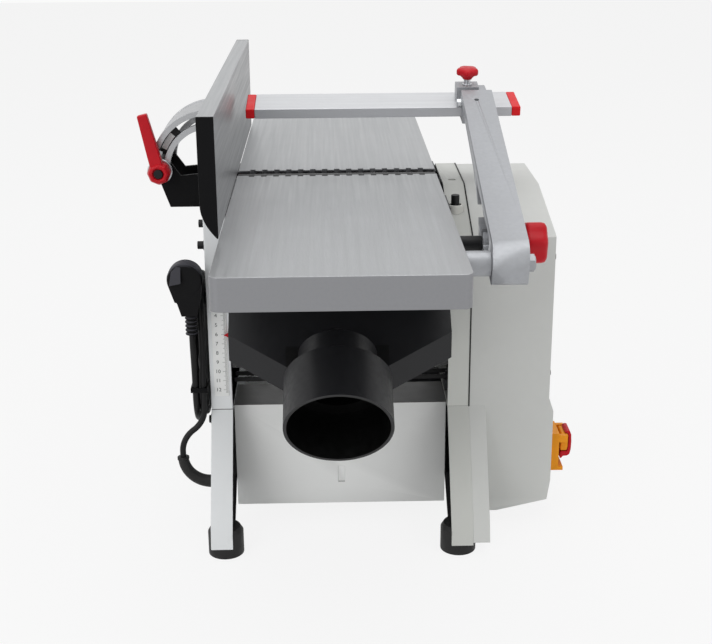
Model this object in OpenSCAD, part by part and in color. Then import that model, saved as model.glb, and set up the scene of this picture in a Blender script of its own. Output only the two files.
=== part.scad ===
// Bench planer thicknesser, set up for planing with its dust hood in place.
// Frame: +X towards the operator's side, +Y along the tables, +Z up.
// The origin is on the floor, in the middle of the four feet. All sizes are in millimetres.

/* [Tables] */
// Height of the planing tables above the floor
table_top_z = 355; // [350:1:365]
// Width of the planing tables
table_w = 210; // [200:1:212]
// Distance from the middle of the body to each table end
table_reach = 368.5; // [340:0.5:400]
// Depth of the skirt round each table
table_skirt = 29; // [26:1:32]
// Thickness of the table plate
table_plate = 9; // [7:1:11]
// Thickness of the skirt
table_wall = 6; // [4:1:8]
// Open width between the two table lips
cutter_gap = 24; // [23:0.5:27]
// Number of comb notches in each table lip
comb_count = 15; // [8:1:17]
// Width of one comb notch
comb_w = 5.7; // [3:0.1:7]
// Length of one comb notch
comb_d = 5; // [3:0.5:8]
// Deepest cut that the infeed table can be set to
cut_depth_max = 2; // [1:0.5:2]

/* [Frame] */
// Room on each side between the planing tables and the side panels
side_room = 5.5; // [5:0.5:7]
// Depth of a side panel's flanges
panel_depth = 22; // [20:1:26]
// Sheet thickness of the panels
sheet = 2; // [1.5:0.5:3]
// Half length of the upper body
body_half = 113; // [108:1:120]
// Height of the side panels
panel_top_z = 348; // [340:1:350]
// Height of the seam between panels and legs
seam_z = 135; // [132:1:140]
// Distance of the front cross panel from the middle
cross_y = 95; // [90:1:102]
// Distance of the foot bolts from the inner side of the legs
foot_inset = 8; // [7.5:0.5:9]
// Distance between the feet along the machine
foot_span_y = 330; // [320:1:350]
// Radius of a rubber foot
foot_r = 18; // [15:0.5:20]
// Height of a rubber foot
foot_h = 29; // [24:1:34]
// Radius of the bolt hole in a foot
foot_hole_r = 4.25; // [3:0.25:5]
// Height of the leg's floor above the ground
leg_floor_z = 11; // [9:1:14]

/* [Cover] */
// Width of the drive cover
cover_w = 83; // [80:1:95]
// Wall of the drive cover
cover_wall = 3; // [2:0.5:4]
// Step out of the cover's lower part
cover_bulge = 5; // [3:1:8]

/* [Cutterblock] */
// Radius of the knife circle
knife_circle_r = 25; // [24:0.5:26]
// Radius of the cutterblock body
block_r = 24; // [22:0.5:24]
// Radius of the cutterblock's journals
journal_r = 7.5; // [6:0.5:8]
// Outer radius of the cutterblock bearings
bearing_r = 14; // [12:0.5:15]
// Width of a bearing
bearing_w = 12; // [9:1:14]

/* [Drive] */
// Radius of the cutterblock pulley
block_pulley_r = 10.5; // [9.5:0.5:11]
// Radius of the motor pulley
motor_pulley_r = 8; // [8:0.5:14]
// Width of the drive belt
belt_w = 12; // [8:1:14]
// Thickness of the drive belt
belt_t = 3; // [2:0.5:4]
// Radius of the motor casing
motor_r = 46; // [40:1:48]
// Length of the motor casing
motor_len = 165; // [140:5:190]
// Radius of the motor shaft
motor_shaft_r = 6; // [5:0.5:8]
// Radius of a feed roller
roller_r = 10; // [8:0.5:11]
// Distance from the cutterblock axis to each feed roller
roller_dy = 38; // [37:1:44]
// Radius of a feed sprocket
sprocket_r = 12; // [9:0.5:14]

/* [Thickness table] */
// Height of the workpiece space under the knives at rest
thickness_now = 59; // [56:1:62]
// Travel of the thickness table below its place at rest
lift_travel = 61; // [40:1:61]
// Width of the thickness table
bed_w = 208; // [200:1:212]
// Half length of the thickness table
bed_half = 130; // [120:1:132]
// Height of the thickness table casting
bed_h = 24; // [20:1:26]
// Distance of the lead screws and guide posts from the inner side of the panels
lift_inset = 8.5; // [7.5:0.5:9.5]
// Distance of the lead screws and guide posts from the middle along the tables
lift_y = 68; // [60:1:76]
// Radius of a lead screw or guide post
post_r = 6; // [5:0.5:7]

/* [Dust hood] */
// Outer radius of the dust collar
collar_r = 50; // [45:1:55]
// Length of the dust collar
collar_len = 55; // [45:1:57]
// Outer radius of the hood's neck
neck_r = 37; // [30:1:40]
// Wall of the hood
hood_wall = 3; // [2:0.5:4]
// Slope of the collar below the horizontal
collar_tilt = 30; // [20:1:40]

/* [Fence] */
// Height of the fence
fence_h = 106; // [90:1:130]
// Thickness of the fence
fence_t = 15; // [14:1:18]
// Near end of the fence
fence_y0 = -258; // [-280:1:-230]
// Far end of the fence
fence_y1 = 281; // [250:1:300]
// Thickness of a fence end cap
fence_cap = 3; // [2:0.5:5]
// Outer radius of the tilting quadrants
quad_r = 64; // [61:0.5:66]
// Largest tilt of the fence
fence_tilt_max = 45; // [30:5:45]

/* [Guard] */
// Distance of the guard pivot in front of the middle
guard_pivot_y = 290; // [280:1:300]
// Width of the guard arm
arm_w = 31; // [28:1:34]
// Length of the guard arm from its pivot
arm_len = 285; // [270:1:295]
// Half depth of the near end of the guard arm
arm_r = 22.5; // [20:0.5:25]
// Slope of the guard arm at rest
arm_slope = 17; // [15:0.5:19]
// Length of the guard bar with its caps
bar_len = 281; // [240:1:300]
// Depth of the guard bar
bar_d = 52; // [44:1:56]
// Thickness of the guard bar
bar_t = 10; // [8:0.5:12]
// Thickness of a bar end cap
bar_cap = 9; // [6:1:12]

/* [Cord] */
// Diameter of the power cord
cord_d = 6.2; // [6:0.1:6.4]
// Loops in each layer of the hank
hank_loops = 2; // [1:1:2]

/* [Hidden] */
$fn = 64;

// Clearances
gap = 0.3;
running = 0.05;

// Places worked out from the sizes above
panel_in = max(table_w, bed_w + 2) / 2 + side_room;
panel_out = panel_in + panel_depth;
lift_x = panel_in + lift_inset;
skin_in = panel_out - sheet;
table_half = table_w / 2;
table_low = table_top_z - table_skirt;
lip_near_y = -5;
lip_far_y = lip_near_y + cutter_gap;
cutter_y = lip_near_y + 10;
cutter_z = table_top_z - knife_circle_r;
knife_low = cutter_z - knife_circle_r;
roller_z = knife_low + roller_r - 1;
bed_top = knife_low - thickness_now;
bed_low = bed_top - bed_h;

// Small building blocks
module box(x0, x1, y0, y1, z0, z1) translate([x0, y0, z0]) cube([x1 - x0, y1 - y0, z1 - z0]);
module x_rod(x0, x1, y, z, r) translate([x0, y, z]) rotate([0, 90, 0]) cylinder(h = x1 - x0, r = r);
module y_rod(y0, y1, x, z, r) translate([x, y0, z]) rotate([-90, 0, 0]) cylinder(h = y1 - y0, r = r);
module z_rod(z0, z1, x, y, r) translate([x, y, z0]) cylinder(h = z1 - z0, r = r);
module yz_prism(x0, x1) translate([x0, 0, 0]) rotate([90, 0, 90]) linear_extrude(x1 - x0) children();
module xz_prism(y0, y1) translate([0, y1, 0]) rotate([90, 0, 0]) linear_extrude(y1 - y0) children();
module sides_x() { children(); mirror([1, 0, 0]) children(); }
module ends_y() { children(); mirror([0, 1, 0]) children(); }
module at_x(x) translate([x, 0, 0]) children();

// Outline moved inwards by d, for outlines listed anticlockwise
function unit(v) = v / norm(v);
function left_of(v) = [-v[1], v[0]];
function cross2(a, b) = a[0] * b[1] - a[1] * b[0];
function corner_in(p, q, r, d) =
  let (u = unit(q - p), v = unit(r - q), a = q + left_of(u) * d, b = q + left_of(v) * d)
  abs(cross2(u, v)) < 0.001 ? a : a + u * (cross2(b - a, v) / cross2(u, v));
function inset(pts, d) = let (n = len(pts))
  [for (i = [0:n - 1]) corner_in(pts[(i + n - 1) % n], pts[i], pts[(i + 1) % n], d)];

// Loop round two wheels
module wheel_loop(a, ra, b, rb) hull() {
  translate(a) circle(ra, $fn = 32);
  translate(b) circle(rb, $fn = 32);
}
module belt_loop(a, ra, b, rb, t) difference() {
  wheel_loop(a, ra + t, b, rb + t);
  wheel_loop(a, ra, b, rb);
}

// Frame outlines, Y across and Z up
slope_front_z = panel_top_z - 33;
slope_back_z = panel_top_z - 14;
top_flat_y0 = -22;
top_flat_y1 = 78;
left_outline = [[-body_half, seam_z], [body_half, seam_z], [body_half, slope_back_z],
  [top_flat_y1, panel_top_z], [-body_half + 10, panel_top_z], [-body_half, panel_top_z - 10]];
right_outline = [[-body_half, seam_z], [body_half, seam_z], [body_half, slope_back_z],
  [top_flat_y1, panel_top_z], [top_flat_y0, panel_top_z], [-body_half, slope_front_z]];
foot_x = panel_in + foot_inset;
foot_y = foot_span_y / 2;
leg_front = foot_y + foot_r;
leg_back = foot_y - foot_r - 2;
leg_fold_z = 33;
arch_z = 48;
arch_half = 92;
leg_outline = [[-leg_front, leg_floor_z], [-leg_back, leg_floor_z], [-arch_half, arch_z],
  [arch_half, arch_z], [leg_back, leg_floor_z], [leg_front, leg_floor_z],
  [leg_front - 6, leg_fold_z], [body_half, seam_z], [-body_half, seam_z], [-leg_front + 6, leg_fold_z]];

// A sheet panel: an outer skin with a flange all round, open towards the middle
module flanged_panel(outline) difference() {
  yz_prism(panel_in, panel_out) polygon(outline);
  yz_prism(panel_in - 1, skin_in) polygon(inset(outline, sheet));
}

// Drive places
belt_x = panel_out + 37;
pulley_x1 = belt_x + belt_w;
motor_y = 20;
motor_z = 88;
output_z = cutter_z - 48;
chain_w = 4;
chain_x0 = panel_out + 2;
chain_x1 = chain_x0 + chain_w + 1.5;
roller_y = [cutter_y + roller_dy, cutter_y - roller_dy];
chain_t = 2.4;
lift_sprocket_r = 7;
spindle_top = table_top_z - 8;
hole_slack = 1.5;

module left_side_panel() color([0.84, 0.85, 0.85]) mirror([1, 0, 0]) flanged_panel(left_outline);

module right_side_panel() color([0.76, 0.76, 0.74]) difference() {
  flanged_panel(right_outline);
  x_rod(panel_in, panel_out + 1, cutter_y, cutter_z, journal_r + hole_slack);
  for (y = roller_y) x_rod(panel_in, panel_out + 1, y, roller_z, roller_shaft_r + hole_slack);
  z_rod(slope_front_z, panel_top_z + 1, lift_x, -lift_y, post_r + hole_slack);
  z_rod(panel_top_z - sheet - 1, panel_top_z + 1, panel_in + panel_depth / 2, -4, 4.2);
}

module leg_frame() difference() {
  flanged_panel(leg_outline);
  ends_y() z_rod(0, leg_floor_z + sheet + 1, foot_x, foot_y, foot_hole_r);
}
module left_leg_frame() color([0.82, 0.83, 0.83]) mirror([1, 0, 0]) leg_frame();
module right_leg_frame() color([0.78, 0.79, 0.78]) difference() {
  leg_frame();
  x_rod(panel_in, panel_out + 1, motor_y, motor_z, motor_shaft_r + hole_slack);
}

// Cross panel with a folded top edge and a small pressed mark near its foot
cross_low = 17;
cross_top = seam_z - 3;
cross_fold = 14;
cross_shelf = 58;
module cross_panel(shelf) difference() {
  union() {
    box(-panel_in, panel_in, -cross_y, -cross_y + sheet, cross_low, cross_top);
    box(-panel_in, panel_in, -cross_y, -cross_y + shelf, cross_top - sheet, cross_top);
    sides_x() box(panel_in - sheet, panel_in, -cross_y, -cross_y + cross_fold, cross_low, cross_top);
  }
  box(-3, 4, -cross_y - 1, -cross_y + sheet / 2, cross_low + 25, cross_low + 43);
}
module cross_panels() color([0.70, 0.70, 0.70]) {
  cross_panel(cross_shelf);
  mirror([0, 1, 0]) cross_panel(cross_fold);
}

// Plates that carry the tables between the side panels
support_y0 = 56;
support_z0 = 292;
module table_supports() color([0.35, 0.35, 0.37]) sides_x() ends_y()
  box(table_half + gap, panel_in, -body_half + 4, -support_y0, support_z0, table_top_z - table_plate - 2);

// Rubber feet, slotted for the leg that stands in each
module rubber_foot() difference() {
  union() {
    cylinder(h = foot_h - 5, r = foot_r);
    translate([0, 0, foot_h - 5]) cylinder(h = 5, r1 = foot_r, r2 = foot_r - 3);
  }
  translate([panel_in - foot_x - gap, -foot_r - 1, leg_floor_z])
    cube([panel_depth + 2 * gap, 2 * foot_r + 2, foot_h]);
  translate([0, 0, -1]) cylinder(h = leg_floor_z + 2, r = foot_hole_r);
}
module rubber_feet() color([0.08, 0.08, 0.08])
  sides_x() ends_y() translate([foot_x, -foot_y, 0]) rubber_foot();

// Drive cover: the side outline crossed with the front outline, hollowed towards the panel
cover_x1 = panel_out + cover_w;
cover_low_z = 14;
cover_side = [[-body_half, cover_low_z - 2], [body_half, cover_low_z - 2], [body_half, slope_back_z],
  [top_flat_y1, panel_top_z - 1], [top_flat_y0, panel_top_z - 1], [-body_half, slope_front_z - 1]];
cover_front = [[panel_out, cover_low_z], [panel_out + 32, cover_low_z], [cover_x1 + 2, cover_low_z + 12],
  [cover_x1 + cover_bulge, cover_low_z + 34], [cover_x1 + cover_bulge, 127], [cover_x1, 142],
  [cover_x1, panel_top_z - 32], [cover_x1 - 5, panel_top_z], [panel_out, panel_top_z]];
skirt_w = 17;
cover_leg = [[-leg_front, 14], [-leg_back, 14], [-body_half + 6, 40], [-body_half + 6, seam_z],
  [-body_half, seam_z], [-leg_front + 6, leg_fold_z]];
module cover_solid(side, front, x0) intersection() {
  yz_prism(x0, cover_x1 + 20) polygon(side);
  xz_prism(-body_half - 5, body_half + 5) polygon(front);
}
module drive_cover() color([0.73, 0.73, 0.71]) difference() {
  union() {
    cover_solid(cover_side, cover_front, panel_out);
    ends_y() difference() {
      yz_prism(panel_out, panel_out + skirt_w) polygon(cover_leg);
      yz_prism(panel_out - 1, panel_out + skirt_w - cover_wall) polygon(inset(cover_leg, cover_wall));
    }
  }
  intersection() {
    yz_prism(panel_out - 1, cover_x1 + 20) polygon(inset(cover_side, cover_wall));
    at_x(-cover_wall) xz_prism(-body_half, body_half)
      polygon([for (p = inset(cover_front, cover_wall)) [p[0] < panel_out + 8 ? p[0] - 9 : p[0] + cover_wall, p[1]]]);
  }
  ends_y() z_rod(0, foot_h + 1, foot_x, -foot_y, foot_r + gap);
}

// Black bolts on the outside of the left panel
bolt_places = [[-94, 305], [-74, 322], [94, 305], [88, 330]];
low_bolt_places = [[-100, 119], [100, 119]];
module panel_bolt(y, z, r, h) {
  x_rod(-panel_out - 2, -panel_out, y, z, r + 1.5);
  x_rod(-panel_out - h, -panel_out - 2, y, z, r);
}
module panel_bolts() color([0.06, 0.06, 0.06]) {
  for (p = bolt_places) panel_bolt(p[0], p[1], 4, 8);
  for (p = low_bolt_places) panel_bolt(p[0], p[1], 4, 4);
}

// Planing tables: a plate with a skirt on three sides, ribs below and a comb along the lip
lip_clear = 0.8;
rib_t = 5;
comb_pitch = table_w / (comb_count + 1) - 0.3;
module table_casting(y_end, y_lip, drop) {
  way = sign(y_lip - y_end);
  y_low = min(y_end, y_lip);
  y_high = max(y_end, y_lip);
  corner = 8;
  difference() {
    union() {
      difference() {
        union() {
          box(-table_half, table_half, min(y_end + way * corner, y_lip), max(y_end + way * corner, y_lip),
            table_low, table_top_z);
          box(-table_half + corner, table_half - corner, y_low, y_high, table_low, table_top_z);
          sides_x() z_rod(table_low, table_top_z, table_half - corner, y_end + way * corner, corner);
        }
        box(-table_half + table_wall, table_half - table_wall,
          min(y_end + way * table_wall, y_lip + way), max(y_end + way * table_wall, y_lip + way),
          table_low - 1, table_top_z - table_plate);
      }
      for (s = [0.25, 0.5]) let (y = y_end + (y_lip - y_end) * s)
        box(-table_half + table_wall, table_half - table_wall, y - rib_t / 2, y + rib_t / 2,
          table_low + 10, table_top_z - table_plate);
    }
    for (i = [0:comb_count - 1]) let (x = (i - (comb_count - 1) / 2) * comb_pitch)
      box(x - comb_w / 2, x + comb_w / 2, y_lip - comb_d, y_lip + comb_d,
        table_top_z - table_plate - 1, table_top_z + 1);
    for (z = [0, drop]) x_rod(-table_half - 1, table_half + 1, cutter_y, cutter_z + z,
      knife_circle_r + lip_clear);
    box(-table_half - 1, table_half + 1, cutter_y - roller_dy - 16, cutter_y + roller_dy + 16,
      table_low - 1, table_top_z - table_plate);
  }
}
module outfeed_table() color([0.68, 0.69, 0.70]) table_casting(-table_reach, lip_near_y, 0);
module infeed_table() color([0.68, 0.69, 0.70]) difference() {
  table_casting(table_reach, lip_far_y, cut_depth_max);
  y_rod(table_reach - table_wall - 1, table_reach + 1, 0, screw_z, depth_screw_r + running);
}

// Depth of cut screw with its knob, under the far end of the infeed table
depth_screw_r = 4;
screw_z = table_top_z - table_plate - 9;
module depth_screw() color([0.08, 0.08, 0.08]) {
  y_rod(table_reach - 60, table_reach + 4, 0, screw_z, depth_screw_r);
  difference() {
    y_rod(table_reach + gap + 1, table_reach + 22, 0, screw_z, 15);
    for (a = [0:60:300]) y_rod(table_reach, table_reach + 23, 16 * cos(a), screw_z + 16 * sin(a), 4);
  }
}

// Cutterblock with its shaft and two knife slots
block_half = panel_in - 6;
slot_w = 9;
slot_deep = 14;
knife_t = 2;
wedge_h = 10;
block_shaft_x1 = pulley_x1 + 1;
module knife_slot(a) translate([0, cutter_y, cutter_z]) rotate([a, 0, 0])
  box(-block_half - 1, block_half + 1, -slot_w / 2, slot_w / 2, block_r - slot_deep, block_r + 2);
module cutterblock() color([0.60, 0.61, 0.63]) difference() {
  union() {
    x_rod(-block_half, block_half, cutter_y, cutter_z, block_r);
    x_rod(-skin_in + 1, block_shaft_x1, cutter_y, cutter_z, journal_r);
  }
  for (a = [40, 220]) knife_slot(a);
}
module cutter_knives() color([0.75, 0.76, 0.78]) for (a = [40, 220])
  translate([0, cutter_y, cutter_z]) rotate([a, 0, 0]) yz_prism(-block_half, block_half)
    polygon([[-slot_w / 2, block_r - slot_deep], [-slot_w / 2 + knife_t, block_r - slot_deep],
      [-slot_w / 2 + knife_t, knife_circle_r - 2], [-slot_w / 2, knife_circle_r - 0.6]]);
module knife_wedges() color([0.35, 0.36, 0.38]) for (a = [40, 220])
  translate([0, cutter_y, cutter_z]) rotate([a, 0, 0]) difference() {
    box(-block_half, block_half, -slot_w / 2 + knife_t, slot_w / 2, block_r - slot_deep,
      block_r - slot_deep + wedge_h);
    for (i = [-2:2]) translate([i * 40, 1, block_r - slot_deep + wedge_h - 3]) cylinder(h = 4, r = 2.4);
  }

// Bearings and their housings, in the side panels
bearing_x0 = panel_in + 3;
module cutterblock_bearings() color([0.72, 0.73, 0.75]) sides_x() difference() {
  x_rod(bearing_x0, bearing_x0 + bearing_w, cutter_y, cutter_z, bearing_r);
  x_rod(bearing_x0 - 1, bearing_x0 + bearing_w + 1, cutter_y, cutter_z, journal_r + running);
}
housing_half = bearing_r + 7;
housing_top = panel_top_z - sheet - gap;
module bearing_housing() difference() {
  box(panel_in, skin_in, cutter_y - housing_half, cutter_y + housing_half,
    cutter_z - housing_half, housing_top);
  x_rod(bearing_x0 - 4, bearing_x0 + bearing_w, cutter_y, cutter_z, bearing_r + running);
  x_rod(panel_in, skin_in + 1, cutter_y, cutter_z, journal_r + hole_slack);
}

// Pulleys and belt
module cutterblock_pulley() color([0.55, 0.56, 0.58]) difference() {
  union() {
    x_rod(belt_x, pulley_x1, cutter_y, cutter_z, block_pulley_r);
    x_rod(belt_x - 2, belt_x, cutter_y, cutter_z, block_pulley_r + 2);
  }
  x_rod(belt_x - 3, pulley_x1 + 1, cutter_y, cutter_z, journal_r);
}
motor_x1 = skin_in;
module motor() color([0.25, 0.26, 0.28]) difference() {
  union() {
    x_rod(motor_x1 - motor_len, motor_x1 - 25, motor_y, motor_z, motor_r);
    x_rod(motor_x1 - 25, motor_x1, motor_y, motor_z, motor_r - 10);
    for (a = [0:30:330]) translate([motor_x1 - motor_len + 12, motor_y, motor_z]) rotate([a, 0, 0])
      box(0, motor_len - 50, -1.5, 1.5, motor_r - 2, motor_r + 2);
  }
  x_rod(motor_x1 - 70, motor_x1 + 1, motor_y, motor_z, motor_shaft_r + running);
}
module motor_pulley() color([0.55, 0.56, 0.58]) {
  x_rod(motor_x1 - 69, pulley_x1 + 1, motor_y, motor_z, motor_shaft_r);
  x_rod(belt_x, pulley_x1, motor_y, motor_z, motor_pulley_r);
  x_rod(belt_x - 2, belt_x, motor_y, motor_z, motor_pulley_r + 2);
}
module drive_belt() color([0.07, 0.07, 0.07]) yz_prism(belt_x + gap, pulley_x1 - gap)
  belt_loop([motor_y, motor_z], motor_pulley_r + gap, [cutter_y, cutter_z], block_pulley_r + gap, belt_t);

// Feed drive: a sealed gearbox on the cutterblock shaft, with two chains to the rollers
gearbox_x0 = chain_x1 + chain_w + 2;
gearbox_x1 = belt_x - 4;
output_r = 6;
post_place = [[-46, output_z - 12], [56, output_z - 12]];
module feed_gearbox() color([0.42, 0.43, 0.45]) difference() {
  union() {
    yz_prism(gearbox_x0, gearbox_x1) wheel_loop([cutter_y, cutter_z], 13, [cutter_y, output_z], 26);
    box(gearbox_x0, gearbox_x0 + 5, post_place[0][0], post_place[1][0], output_z - 18, output_z - 6);
    for (p = post_place) x_rod(panel_out, gearbox_x0 + 5, p[0], p[1], 6);
  }
  x_rod(panel_in, belt_x, cutter_y, cutter_z, journal_r + running);
  x_rod(panel_in, gearbox_x1 - 4, cutter_y, output_z, output_r + running);
}
module feed_output() color([0.62, 0.63, 0.65]) {
  x_rod(chain_x0, gearbox_x1 - 5, cutter_y, output_z, output_r);
  for (x = [chain_x0, chain_x1]) x_rod(x, x + chain_w, cutter_y, output_z, sprocket_r);
}
roller_chain_x = [chain_x0, chain_x1];
module feed_chains() for (i = [0, 1])
  yz_prism(roller_chain_x[i] + gap, roller_chain_x[i] + chain_w - gap)
    belt_loop([cutter_y, output_z], sprocket_r + gap, [roller_y[i], roller_z], sprocket_r + gap, chain_t);

// Feed rollers in spring blocks
roller_shaft_r = 5;
block_x0 = panel_in + 1;
block_x1 = skin_in - gap;
module feed_roller(i) {
  x_rod(-block_half, block_half, roller_y[i], roller_z, roller_r);
  x_rod(-block_x1, roller_chain_x[i] + chain_w + 1, roller_y[i], roller_z, roller_shaft_r);
  x_rod(roller_chain_x[i], roller_chain_x[i] + chain_w, roller_y[i], roller_z, sprocket_r);
}
module infeed_roller() color([0.45, 0.46, 0.48]) feed_roller(0);
module outfeed_roller() color([0.16, 0.16, 0.17]) feed_roller(1);
roller_block_half = 9;
module roller_block(y) difference() {
  box(panel_in, skin_in, y - roller_block_half, y + roller_block_half, roller_z - 9, roller_z + 20);
  x_rod(panel_in - 1, skin_in + 1, y, roller_z, roller_shaft_r + running);
}
module bearing_blocks() color([0.30, 0.31, 0.33]) sides_x() {
  bearing_housing();
  for (y = roller_y) roller_block(y);
}

// Thickness table with corner lugs on the screws and posts
lug_r = 9;
nut_r = 8;
module corner_lugs(extra) sides_x() ends_y() {
  z_rod(bed_low, bed_top - extra, lift_x, -lift_y, lug_r);
  box(bed_w / 2 - 8, lift_x, -lift_y - lug_r, -lift_y + lug_r, bed_low, bed_top - extra);
}
module thickness_table() color([0.66, 0.67, 0.68]) difference() {
  union() {
    difference() {
      box(-bed_w / 2, bed_w / 2, -bed_half, bed_half, bed_low, bed_top);
      box(-bed_w / 2 + 8, bed_w / 2 - 8, -bed_half + 8, bed_half - 8, bed_low - 1, bed_top - 10);
    }
    for (y = [-43, 0, 43]) box(-bed_w / 2 + 7, bed_w / 2 - 7, y - 3, y + 3, bed_low + 4, bed_top - 9);
    corner_lugs(2);
  }
  sides_x() z_rod(bed_low - 1, bed_top + 1, lift_x, lift_y, post_r + running);
  sides_x() z_rod(bed_low - 1, bed_top + 1, lift_x, -lift_y, nut_r);
}
module lead_nuts() color([0.72, 0.60, 0.32]) sides_x() difference() {
  union() {
    z_rod(bed_low, bed_top - 2, lift_x, -lift_y, nut_r);
    z_rod(bed_low - 3, bed_low, lift_x, -lift_y, nut_r + 1.5);
  }
  z_rod(bed_low - 4, bed_top, lift_x, -lift_y, post_r + running);
}
bracket_h = 12;
low_bracket_z = seam_z + sheet + 1;
lift_chain_z = low_bracket_z + bracket_h + 1;
high_bracket_z = 272;
module lead_screw(x, top) {
  z_rod(low_bracket_z, top, x, -lift_y, post_r);
  z_rod(lift_chain_z, lift_chain_z + 5, x, -lift_y, lift_sprocket_r);
}
module right_lead_screw() color([0.10, 0.10, 0.10]) {
  lead_screw(lift_x, spindle_top - 20);
  z_rod(spindle_top - 20, spindle_top, lift_x, -lift_y, 4.2);
}
module left_lead_screw() color([0.55, 0.56, 0.58]) lead_screw(-lift_x, high_bracket_z + bracket_h);
module guide_posts() color([0.70, 0.71, 0.73]) sides_x()
  z_rod(low_bracket_z, high_bracket_z + bracket_h, lift_x, lift_y, post_r);
module lift_brackets() color([0.30, 0.31, 0.33]) sides_x() ends_y()
  for (z = [low_bracket_z, high_bracket_z]) difference() {
    box(panel_in, skin_in, -lift_y - 10, -lift_y + 10, z, z + bracket_h);
    z_rod(z - 1, z + bracket_h + 1, lift_x, -lift_y, post_r + running);
  }
module lift_chain() translate([0, 0, lift_chain_z + gap]) linear_extrude(4.4)
  belt_loop([-lift_x, -lift_y], lift_sprocket_r + gap, [lift_x, -lift_y], lift_sprocket_r + gap, chain_t);
module drive_chains() color([0.30, 0.30, 0.31]) {
  feed_chains();
  lift_chain();
}
bush_z = panel_top_z - (panel_top_z - slope_front_z) * (lift_y + top_flat_y0) / (body_half + top_flat_y0);
bush_r = lift_x - panel_in - gap;
module spindle_bush() color([0.80, 0.80, 0.76]) difference() {
  z_rod(bush_z - 6, bush_z + 6, lift_x, -lift_y, bush_r);
  z_rod(bush_z - 7, bush_z + 7, lift_x, -lift_y, post_r + running);
  right_top_flange();
}
// The top flange of the right panel, which the bush is seated in
module right_top_flange() intersection() {
  flanged_panel(right_outline);
  box(panel_in, panel_out, -body_half, body_half, slope_front_z - 5, panel_top_z + 1);
}

// Depth scale on the left panel's front flange, and its pointer on the thickness table
scale_t = 0.8;
pointer_z = bed_low - 5;
module depth_scale() color([0.88, 0.89, 0.88])
  box(-panel_out + 4, -panel_in - 3, -body_half - scale_t, -body_half, 150, bed_top + 10);
module scale_pointer() color([0.78, 0.10, 0.12]) {
  xz_prism(-body_half - 4, -body_half - 2)
    polygon([[-panel_in - 6, pointer_z], [-panel_in, pointer_z + 3], [-bed_w / 2, pointer_z + 3],
      [-bed_w / 2, pointer_z - 3], [-panel_in, pointer_z - 3]]);
  box(-bed_w / 2 - 1, -bed_w / 2 + 6, -body_half - 4, -body_half - 2, pointer_z - 3, bed_low);
}

// Dust hood: a tray under the cutterblock, a front chamber, and a sloping neck and collar
hood_back = max(bed_half + 6, body_half + 23);
hood_front = hood_back + 52;
hood_half = table_half + 1;
hood_ridge_z = bed_top - 3;
hood_top = table_low - 4;
hood_low = bed_top - 51;
hood_slope = 0.84;
hood_step = 16;
tray_end = 60;
tray_top = knife_low - 6;
mouth = [-3, -hood_front - 94, bed_top - 60];
chamber_outline = [[-hood_back, hood_low], [-hood_back, hood_top], [-hood_back - hood_step, hood_top],
  [-hood_back - hood_step, hood_ridge_z + hood_slope * (hood_front - hood_back - hood_step)],
  [-hood_front, hood_ridge_z], [-hood_back - 14, hood_low]];
// Chute that narrows from the chamber's ridge to the neck and goes on down the same slope
chute_t = 26;
chute_reach = 32;
chute_half = neck_r + 1;
chute_end_y = -hood_front - chute_reach;
chute_end_z = hood_ridge_z - hood_slope * chute_reach;
module hood_funnel(inner) hull() {
  box(-hood_half + inner, hood_half - inner, -hood_front + inner, -hood_front + 14,
    hood_ridge_z - chute_t + inner, hood_ridge_z - inner);
  box(mouth[0] - chute_half + inner, mouth[0] + chute_half - inner, chute_end_y + inner / 3,
    chute_end_y + 7, chute_end_z - chute_t + inner, chute_end_z - inner);
}
// Round pipe of domed neck, shoulder and collar, as distances from its axis and from its mouth
shoulder_len = 11;
neck_back = -collar_len - 30;
dome_back = neck_back - 20;
dome_r = neck_r - 22;
bore_r = neck_r - hood_wall;
bore_back = -collar_len + hood_wall;
pipe_outside = [[0, dome_back], [dome_r, dome_back], [neck_r, neck_back], [neck_r, -collar_len - shoulder_len],
  [collar_r, -collar_len], [collar_r, 0], [0, 0]];
pipe_inside = [[0, dome_back + hood_wall], [dome_r - hood_wall, dome_back + hood_wall], [bore_r, neck_back],
  [bore_r, bore_back], [collar_r - hood_wall, bore_back], [collar_r - hood_wall, 1], [0, 1]];
module hood_pipe(profile) translate(mouth) rotate([90 + collar_tilt, 0, 0]) rotate_extrude() polygon(profile);
module dust_hood() color([0.05, 0.05, 0.05]) difference() {
  union() {
    yz_prism(-hood_half, hood_half) polygon(chamber_outline);
    hood_funnel(0);
    hood_pipe(pipe_outside);
    difference() {
      box(-block_half, block_half, -hood_back - 1, tray_end, bed_top + gap, tray_top);
      box(-block_half + hood_wall, block_half - hood_wall, -hood_back - 10, tray_end - hood_wall,
        bed_top + gap + hood_wall, tray_top + 1);
    }
    box(-panel_in - 8, panel_in + 8, -body_half - 4, -body_half - gap, bed_top + 12, tray_top - 2);
  }
  yz_prism(-hood_half + hood_wall, hood_half - hood_wall) polygon(inset(chamber_outline, hood_wall));
  box(-block_half + hood_wall, block_half - hood_wall, -hood_back - hood_wall - 2, -body_half + 1,
    bed_top + gap + hood_wall, tray_top - 4);
  hood_funnel(hood_wall);
  hood_pipe(pipe_inside);
}

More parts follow.
